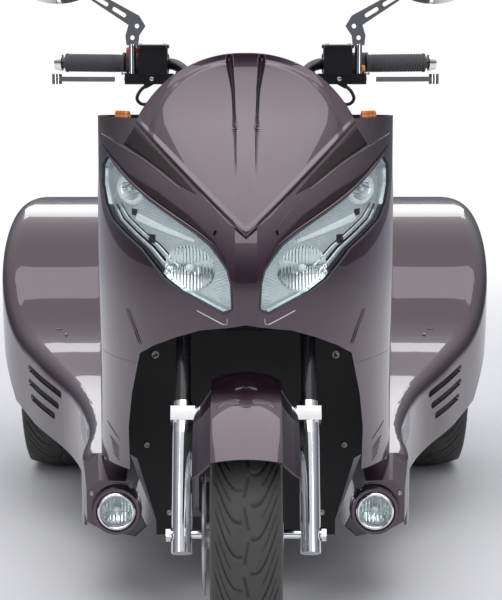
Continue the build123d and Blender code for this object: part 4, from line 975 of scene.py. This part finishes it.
# Handlebar: a red kill switch on top, an orange horn button in front, and keys on the rider's side
controls = {"switchTop": 1.0776, "hornFront": -0.481, "keysBack": -0.436, "reservoir": (0.178, -0.4885)}
killLevels = [(-0.004, 0), (0.0075, 0), (0.0095, 0.0012), (0.0105, 0.003)]
killAt = (-0.2185, -0.461, controls["switchTop"])
killSwitch = slab((0.0120, 0.0085), 0.004, killLevels, killAt, (1, 0, 0), (0, 1, 0))
piece("killSwitch", killSwitch, "redButton", "steering")
hornLevels = [(-0.003, 0), (0.0030, 0), (0.0045, 0.001), (0.0052, 0.003)]
hornAt = (0.2225, controls["hornFront"], 1.0475)
hornButton = slab((0.0085, 0.0065), 0.0045, hornLevels, hornAt, (1, 0, 0), (0, 0, 1))
piece("hornButton", hornButton, "orangeButton", "steering")
keyLevels = [(-0.002, 0), (0.0018, 0), (0.0026, 0.0008)]
keys = [
    slab((0.006, 0.0035), 0.0015, keyLevels, (x, controls["keysBack"], z), (-1, 0, 0), (0, 0, 1))
    for x, z in ((-0.212, 1.060), (-0.212, 1.046), (0.205, 1.062), (0.205, 1.049))
]
piece("switchKeys", keys, "greyCap", "steering")

# Brake hoses: from the lever's perch in a low loop back to the bar, with a crimped sleeve at each end
hosePath = smoothRun([
    (0.1780, -0.5150, 1.0215), (0.1990, -0.5140, 1.0080), (0.2080, -0.5060, 0.9900),
    (0.1960, -0.4960, 0.9790), (0.1700, -0.4840, 0.9880), (0.1450, -0.4700, 1.0130),
    (0.1300, -0.4665, 1.0390),
], 70)
hoseThick = np.where((np.arange(70) < 8) | (np.arange(70) > 63), 0.0046, 0.0032)
piece("brakeHoses", bothSides(carried(hosePath, hoseThick, 12)), "gripRubber", "steering")

# Reservoir lids with two screws each, and the levers' pivots
potX, potY = controls["reservoir"]
potTop = meets("brake_reservoirs", 2, np.array([potX]), np.array([potY]), farSide=True)[0]
lidLevels = [(-0.0035, 0), (0.0002, 0), (0.0014, 0.0010), (0.0018, 0.0030)]
lids, lidScrews = [], []
for x in (potX, -potX):
    lids.append(slab((0.0305, 0.0255), 0.006, lidLevels, (x, potY, potTop), (1, 0, 0), (0, 1, 0)))
    for dx, dy in ((-0.022, -0.017), (0.022, 0.017)):
        lidScrews.append(screw((x + dx, potY + dy, potTop + 0.0016), (0, 0, 1), 0.0032))
piece("reservoirLids", lids, "greyCap", "steering")
piece("lidScrews", lidScrews, "boltSteel", "steering")
pivots = []
for sign in (1, -1):
    pivots.append(screw((sign * 0.232, -0.505, 1.0375), (0, 0, 1), 0.006))
    pivots.append(screw((sign * 0.178, -0.5365, 1.028), (0, -1, 0), 0.0045))
piece("leverPivots", pivots, "boltSteel", "steering")
print("controls")

# Gauges on the rider's side of the binnacle: rim, dark dial, marks and a needle each, with no lettering
gaugeSpec = {
    "centre": (0.0, -0.5520, 0.9990), "facing": (0.0, 0.91, 0.41), "spread": 0.056, "radius": 0.0200,
}
facing = unit(gaugeSpec["facing"])
across = np.array([-1.0, 0, 0])  # to the rider's right
gaugeUp = np.cross(facing, across)
gr = gaugeSpec["radius"]
rimLine = [
    (-0.002, gr), (0.0035, gr), (0.0048, gr - 0.001), (0.0040, gr - 0.0024), (0.0006, gr - 0.0030),
    (-0.002, gr - 0.0030), (-0.002, gr),
]
dialLine = [
    (-0.002, 0.0), (-0.002, gr - 0.003), (0.0008, gr - 0.003), (0.0011, 0.004), (0.0030, 0.0034),
    (0.0034, 0.0),
]


def spokeAt(turn):
    return np.sin(turn)[..., None] * across + np.cos(turn)[..., None] * gaugeUp


spokes = spokeAt(np.radians(np.linspace(-130, 130, 24)))
mark = slab((0.0003, 0.0013), 0.0002, [(0.0008, 0), (0.0014, 0)], (0, 0, 0), (1, 0, 0), (0, 1, 0), sides=2)
handLevels = [(0.0018, 0), (0.0024, 0)]
hand = slab((0.0005, 0.0065), 0.0004, handLevels, (0, 0.0050, 0), (1, 0, 0), (0, 1, 0), sides=2)
rims, dials, marks, hands = [], [], [], []
for step, reading in ((-1, -1.1), (0, 0.35), (1, -0.6)):
    spot = np.array(gaugeSpec["centre"]) + [step * gaugeSpec["spread"], 0, 0]
    rims.append(turned(rimLine, spot, facing, 48))
    dials.append(turned(dialLine, spot, facing, 40))
    marks.append(repeated(mark, spot + spokes * (gr - 0.0055), np.cross(spokes, facing), spokes))
    pointing = spokeAt(np.array([reading]))
    hands.append(repeated(hand, spot[None], np.cross(pointing, facing), pointing))
piece("gaugeRims", rims, "chrome")
piece("gaugeDials", dials, "blackPlastic")
piece("gaugeMarks", marks, "whiteRing")
piece("gaugeHands", hands, "redButton")

# Leg shield, rider's side: a locker lid with its catch, the key barrel and the screws round the edge
shieldSpec = {"lid": (-0.125, 0.800), "half": (0.092, 0.070), "catchUp": 0.045, "key": (0.115, 0.860)}
lidX, lidZ = shieldSpec["lid"]
shieldY = depthOf("leg_shield", lidX, lidZ, farSide=True)
lidLevels = [(-0.001, 0), (0.0045, 0), (0.0060, 0.0015), (0.0062, 0.010), (0.0046, 0.013), (0.0046, 0.030)]
lidAt = (lidX, shieldY, lidZ)
lockerLid = slab(shieldSpec["half"], 0.016, lidLevels, lidAt, (-1, 0, 0), (0, 0, 1), sides=8)
piece("lockerLid", lockerLid, "blackGloss")
catchAt = (lidX, shieldY, lidZ + shieldSpec["catchUp"])
catchLevels = [(0.004, 0), (0.0085, 0.0005), (0.0095, 0.002)]
catch = slab((0.016, 0.007), 0.005, catchLevels, catchAt, (-1, 0, 0), (0, 0, 1))
piece("lockerCatch", catch, "greyCap")
keyAt = (shieldSpec["key"][0], shieldY, shieldSpec["key"][1])
keyLine = [
    (-0.001, 0.0), (-0.001, 0.017), (0.006, 0.017), (0.008, 0.0150), (0.0085, 0.0125), (0.0060, 0.0120),
    (0.0060, 0.0),
]
piece("keyBarrel", turned(keyLine, keyAt, (0, 1, 0), 40), "chrome")
keySlot = slab((0.0010, 0.0050), 0.0008, [(0.0050, 0), (0.0068, 0)], keyAt, (-1, 0, 0), (0, 0, 1))
piece("keySlot", keySlot, "blackGloss")
shieldScrews = [
    screwOn("leg_shield", x, z, 0.006, True) for x in (-0.225, 0.225) for z in (0.40, 0.66, 0.92)
]
piece("shieldScrews", shieldScrews, "boltSteel")

# Tail: a dark frame round each lamp, nearly a rectangle, and screws at the corners
lampPoints = pointsOf(nodes["tail_lamps"].data)
lampPoints[:, 0] = np.abs(lampPoints[:, 0])
lampLow, lampHigh = lampPoints.min(0), lampPoints.max(0)
frameHalf = (lampHigh - lampLow) / 2 + 0.0015
turn = np.linspace(0, 2 * np.pi, 96, endpoint=False)
wide, tall = (np.sign(wave) * np.abs(wave) ** 0.22 for wave in (np.cos(turn), np.sin(turn)))
frameAt = (lampLow + lampHigh) / 2
frameLine = np.stack([
    frameAt[0] + frameHalf[0] * wide, np.full(len(turn), lampLow[1] + 0.001),
    frameAt[2] + frameHalf[2] * tall,
], 1)
frameLine = smoothRun(evenly(np.concatenate([frameLine, frameLine[:1]]), 97), 193)[:-1]
tailFrames = bothSides(carried(frameLine, 0.0034, 8, closed=True))
piece("tailFrames", tailFrames, "blackGloss")
tailScrews = [screwOn("tail_body", x, z, 0.0055, True) for x in (-0.27, 0.27) for z in (0.40, 0.665)]
piece("tailScrews", tailScrews, "boltSteel")
print("rider's side and tail")

# Rear hub caps: a shallow dome over each hub
# Columns: piece, body, node under it, side
hubCaps = (
    ("hubCapLeft", "rear_wheel_left", "rear_rim_left", 1),
    ("hubCapRight", "rear_wheel_right", "rear_rim_right", -1),
)
domeLine = [
    (-0.004, 0.0), (-0.004, 0.026), (0.001, 0.026), (0.005, 0.0235), (0.008, 0.017), (0.0095, 0.008),
    (0.0098, 0.0),
]
for name, body, node, sign in hubCaps:
    corners = triangles(node)
    inHub = np.hypot(corners[..., 1] - rearY, corners[..., 2] - rearZ) < 0.05
    hubFace = np.abs(corners[..., 0][inHub]).max()
    dome = turned(domeLine, (sign * (hubFace + 0.001), rearY, rearZ), (sign, 0, 0), 48)
    piece(name, dome, "chrome", body)
print("hubs")


# What is on the object is applied and nothing else changes
def settle(made):
    graph = bpy.context.evaluated_depsgraph_get()
    done = bpy.data.meshes.new_from_object(made.evaluated_get(graph))
    old = made.data
    made.modifiers.clear()
    made.data = done
    bpy.data.meshes.remove(old)


# Seat and back pad: the CAD solid's copy, remeshed and blown up a little as cloth over foam
def cushion(name, node, body, spec):
    source = nodes[node].data.copy()
    made = bpy.data.objects.new(name, source)
    bpy.context.collection.objects.link(made)
    points = pointsOf(source)
    middle = (points.max(0) + points.min(0)) / 2
    half = (points.max(0) - points.min(0)) / 2
    points = middle + (points - middle) * (1 - spec["inset"] / half)
    source.vertices.foreach_set("co", points.ravel())
    weld(source, 1e-5)
    bpy.context.view_layer.objects.active = made
    remesh = made.modifiers.new("remesh", "REMESH")
    remesh.mode = "VOXEL"
    remesh.voxel_size = spec["voxel"]
    settle(made)
    start = pointsOf(made.data)
    group = made.vertex_groups.new(name="held")
    group.add(np.nonzero(spec["held"](start))[0].tolist(), 1.0, "REPLACE")
    cloth = made.modifiers.new("cloth", "CLOTH")
    cloth.settings.use_pressure = True
    cloth.settings.uniform_pressure_force = spec["pressure"]
    cloth.settings.effector_weights.gravity = 0.0
    cloth.settings.vertex_group_mass = "held"
    cloth.point_cache.frame_end = 20
    for step in range(1, 21):
        bpy.context.scene.frame_set(step)
    settle(made)
    bpy.context.scene.frame_set(1)
    move = pointsOf(made.data) - start
    size = np.linalg.norm(move, axis=1, keepdims=True)
    move = move * np.minimum(1, spec["cap"] / np.maximum(size, 1e-9))
    start = start + move
    shaped = spec["shape"](start)
    made.data.vertices.foreach_set("co", shaped.ravel())
    finer = made.modifiers.new("finer", "SUBSURF")
    finer.levels = finer.render_levels = 1
    settle(made)
    made.data.polygons.foreach_set("use_smooth", np.ones(len(made.data.polygons), bool))
    made.data.materials.clear()
    made.data.materials.append(materials["seatVinyl"])
    made.vertex_groups.clear()
    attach(made, body)
    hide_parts(node)
    return pointsOf(made.data)


seatLow = np.array(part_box("seat_cushion")[0])
padLow, padHigh = (np.array(v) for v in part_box("back_pad"))


# Sewn channels pull the cover in along lines across the seat, deepest over the middle
def seatShape(points):
    x, y, z = points.T
    onTop = smoothStep(z, seatLow[2] + 0.035, seatLow[2] + 0.055)
    width = smoothStep(np.abs(x), 0.150, 0.110)
    pull = sum(np.exp(-((y - place) / 0.006) ** 2) for place in seatSpec["channels"])
    hem = np.exp(-((np.abs(x) - 0.125) / 0.005) ** 2) * smoothStep(y, seatLow[1] + 0.08, seatLow[1] + 0.14)
    z = z - onTop * (0.0060 * pull * width + 0.004 * hem)
    return np.stack([x, y, np.clip(z, seatLow[2], None)], 1)


def padShape(points):
    x, y, z = points.T
    onFront = smoothStep(y, padHigh[1] - 0.012, padHigh[1] - 0.030)
    halfway = (padLow[2] + padHigh[2]) / 2
    hem = np.exp(-((np.abs(x) - 0.112) / 0.005) ** 2) + np.exp(-((z - halfway) / 0.005) ** 2)
    y = y + onFront * 0.005 * np.minimum(hem, 1)
    return np.stack([x, np.clip(y, None, padHigh[1]), z], 1)


seatSpec = {
    "inset": np.array([0.006, 0.005, 0.004]), "voxel": 0.006, "pressure": 4.0, "cap": 0.022, "fill": 0.7,
    "held": lambda p: p[:, 2] < seatLow[2] + 0.012, "shape": seatShape,
    "channels": [seatLow[1] + v for v in (0.16, 0.22, 0.28, 0.50, 0.57, 0.64)],
}
padSpec = {
    "inset": np.array([0.005, 0.004, 0.005]), "voxel": 0.005, "pressure": 4.0, "cap": 0.012, "fill": 0.7,
    "held": lambda p: p[:, 1] > padHigh[1] - 0.010, "shape": padShape,
}
seatPoints = cushion("seatCover", "seat_cushion", "seat", seatSpec)
padPoints = cushion("backCover", "back_pad", "chassis", padSpec)


# The outline of a cushion at one level: the farthest point in each direction, evened out along the round
def girdle(points, axis, level, band, spread=(1.0, 1.0), bins=240):
    others = [k for k in range(3) if k != axis]
    near = points[np.abs(points[:, axis] - level) < band][:, others]
    middle = (near.max(0) + near.min(0)) / 2
    away = (near - middle) / np.array(spread)
    turn = np.arctan2(away[:, 1], away[:, 0])
    slot = ((turn + np.pi) / (2 * np.pi) * bins).astype(int) % bins
    far = np.zeros(bins)
    np.maximum.at(far, slot, np.hypot(*away.T))
    angle = (np.arange(bins) + 0.5) / bins * 2 * np.pi - np.pi
    filled = far > 0
    far = np.interp(angle, angle[filled], far[filled], period=2 * np.pi)
    ring = np.stack([np.cos(angle), np.sin(angle)], 1) * far[:, None] * np.array(spread) + middle
    for k in range(4):
        ring = (np.roll(ring, 1, 0) + 2 * ring + np.roll(ring, -1, 0)) / 4
    path = np.empty((bins, 3))
    path[:, others] = ring
    path[:, axis] = level
    return evenly(np.concatenate([path, path[:1]]), bins + 1)[:-1]


# Piping: a round cord sewn into the seam low on the seat and behind the pad's edge
pipingSpec = {"radius": 0.0026, "seatLevel": seatLow[2] + 0.020, "padLevel": padHigh[1] - 0.017}
seatRing = girdle(seatPoints, 2, pipingSpec["seatLevel"], 0.004, spread=(1.0, 2.0))
seatPiping = carried(seatRing, pipingSpec["radius"], 8, closed=True)
piece("seatPiping", seatPiping, "gripRubber", "seat")
padRing = girdle(padPoints, 1, pipingSpec["padLevel"], 0.004, spread=(2.0, 1.0))
padPiping = carried(padRing, pipingSpec["radius"], 8, closed=True)
piece("padPiping", padPiping, "gripRubber")

# Stitches: short threads in a row beside each sewn channel
stitchSpec = {"long": 0.0027, "thick": 0.0006, "step": 0.0085, "reach": 0.104, "beside": 0.0085}
long, thick = stitchSpec["long"], stitchSpec["thick"]
threadLine = [(-long, 0.0), (-long * 0.8, thick), (long * 0.8, thick), (long, 0.0)]
thread = turned(threadLine, (0, 0, 0), (1, 0, 0), 6)
count = int(stitchSpec["reach"] * 2 / stitchSpec["step"])
sewX = np.tile(np.linspace(-stitchSpec["reach"], stitchSpec["reach"], count), len(seatSpec["channels"]))
sewY = np.repeat(seatSpec["channels"], count) - stitchSpec["beside"]
# each takes the height of the nearest point on the seat's upper side
near = (seatPoints[None, :, 0] - sewX[:, None]) ** 2 + (seatPoints[None, :, 1] - sewY[:, None]) ** 2
near = near + (seatPoints[None, :, 2] < seatLow[2] + 0.03) * 1.0
sewAt = np.stack([sewX, sewY, seatPoints[near.argmin(1), 2] + 0.0003], 1)
rights, ups = (np.tile(v, (len(sewAt), 1)) for v in ((1.0, 0, 0), (0, 1.0, 0)))
piece("seatStitches", repeated(thread, sewAt, rights, ups), "seatThread", "seat")
print("cushions")

# Floor and sky: a pale ground that fades to white, with plain soft boxes above and at the sides
stageSpec = {"floor": rgb(0.74, 0.74, 0.75), "patch": rgb(0.78, 0.78, 0.79), "size": 14.0}
g = newMaterial("ground")
reach = g.add("VectorMath", {"operation": "LENGTH"}, {0: g.place}, "Value")
plain = g.add("BsdfPrincipled", None, {
    "Base Color": g.mix(g.noise(2, 4), stageSpec["floor"], stageSpec["patch"]),
    "Roughness": g.noise(5) * 0.1 + 0.8, "Specular IOR Level": 0.2,
    "Normal": g.bump(g.noise(60), 0.2, 0.0005),
})
white = g.add("Emission", None, {"Color": rgb(1, 1, 1), "Strength": 1.0})
seen = g.add("LightPath", None, None, "Is Camera Ray")
g.show(g.add("MixShader", None, {0: g.band(reach, 2.0, 5.0) * seen, 1: plain, 2: white}))
far = np.linspace(-stageSpec["size"], stageSpec["size"], 29)
ground = np.stack([*np.meshgrid(far, far, indexing="ij"), np.zeros((29, 29))], -1)
points, faces = gridFaces(ground)
floorMesh = bpy.data.meshes.new("ground")
floorMesh.from_pydata(points, [], faces[:, ::-1].tolist())
floorMesh.materials.append(materials["ground"])
floor = bpy.data.objects.new("ground", floorMesh)
bpy.context.collection.objects.link(floor)

world = bpy.data.worlds.new("sky")
bpy.context.scene.world = world
world.use_nodes = True
skyTree = world.node_tree
skyTree.nodes.clear()
g = Graph(skyTree)
facing = Sock(skyTree, g.place.out.node.outputs["Generated"])
upward = g.add("SeparateXYZ", None, {0: facing}, 2)
toEye, toGlass, toGloss = (
    g.add("LightPath", None, None, "Is " + ray + " Ray") for ray in ("Camera", "Transmission", "Glossy")
)
low = g.add("Background", None, {"Color": rgb(0.13, 0.13, 0.15), "Strength": 1.0})
high = g.add("Background", None, {"Color": rgb(0.62, 0.63, 0.68), "Strength": 1.0})
white = g.add("Background", None, {"Color": rgb(1, 1, 1), "Strength": 1.0})
sky = g.add("MixShader", None, {0: g.band(upward, 0.02, 0.75), 1: low, 2: high})
whiteShare = (toEye + toGlass + toGloss * g.band(upward, 0.35, 0.95)).held()
g.add("OutputWorld", None, {"Surface": g.add("MixShader", None, {0: whiteShare, 1: sky, 2: white})}, None)

# Columns: place, aim, width, height, watts
softBoxes = {
    "over": ((0.0, -1.4, 3.5), (0, -0.6, 0.6), 4.6, 4.6, 105),
    "left": ((-2.6, -4.2, 1.9), (0, -0.6, 0.5), 0.8, 2.2, 26),
    "right": ((2.6, -4.2, 1.9), (0, -0.6, 0.5), 0.8, 2.2, 26),
    "back": ((0.0, 3.8, 2.4), (0, 0.6, 0.6), 3.0, 1.6, 36),
}
for name, (place, aim, width, height, watts) in softBoxes.items():
    data = bpy.data.lights.new(name, "AREA")
    data.shape = "RECTANGLE"
    data.size, data.size_y, data.energy = width, height, watts
    lamp = bpy.data.objects.new(name, data)
    lamp.location = place
    toward = Vector(aim) - Vector(place)
    lamp.rotation_euler = toward.to_track_quat("-Z", "Y").to_euler()
    bpy.context.collection.objects.link(lamp)
print("stage")
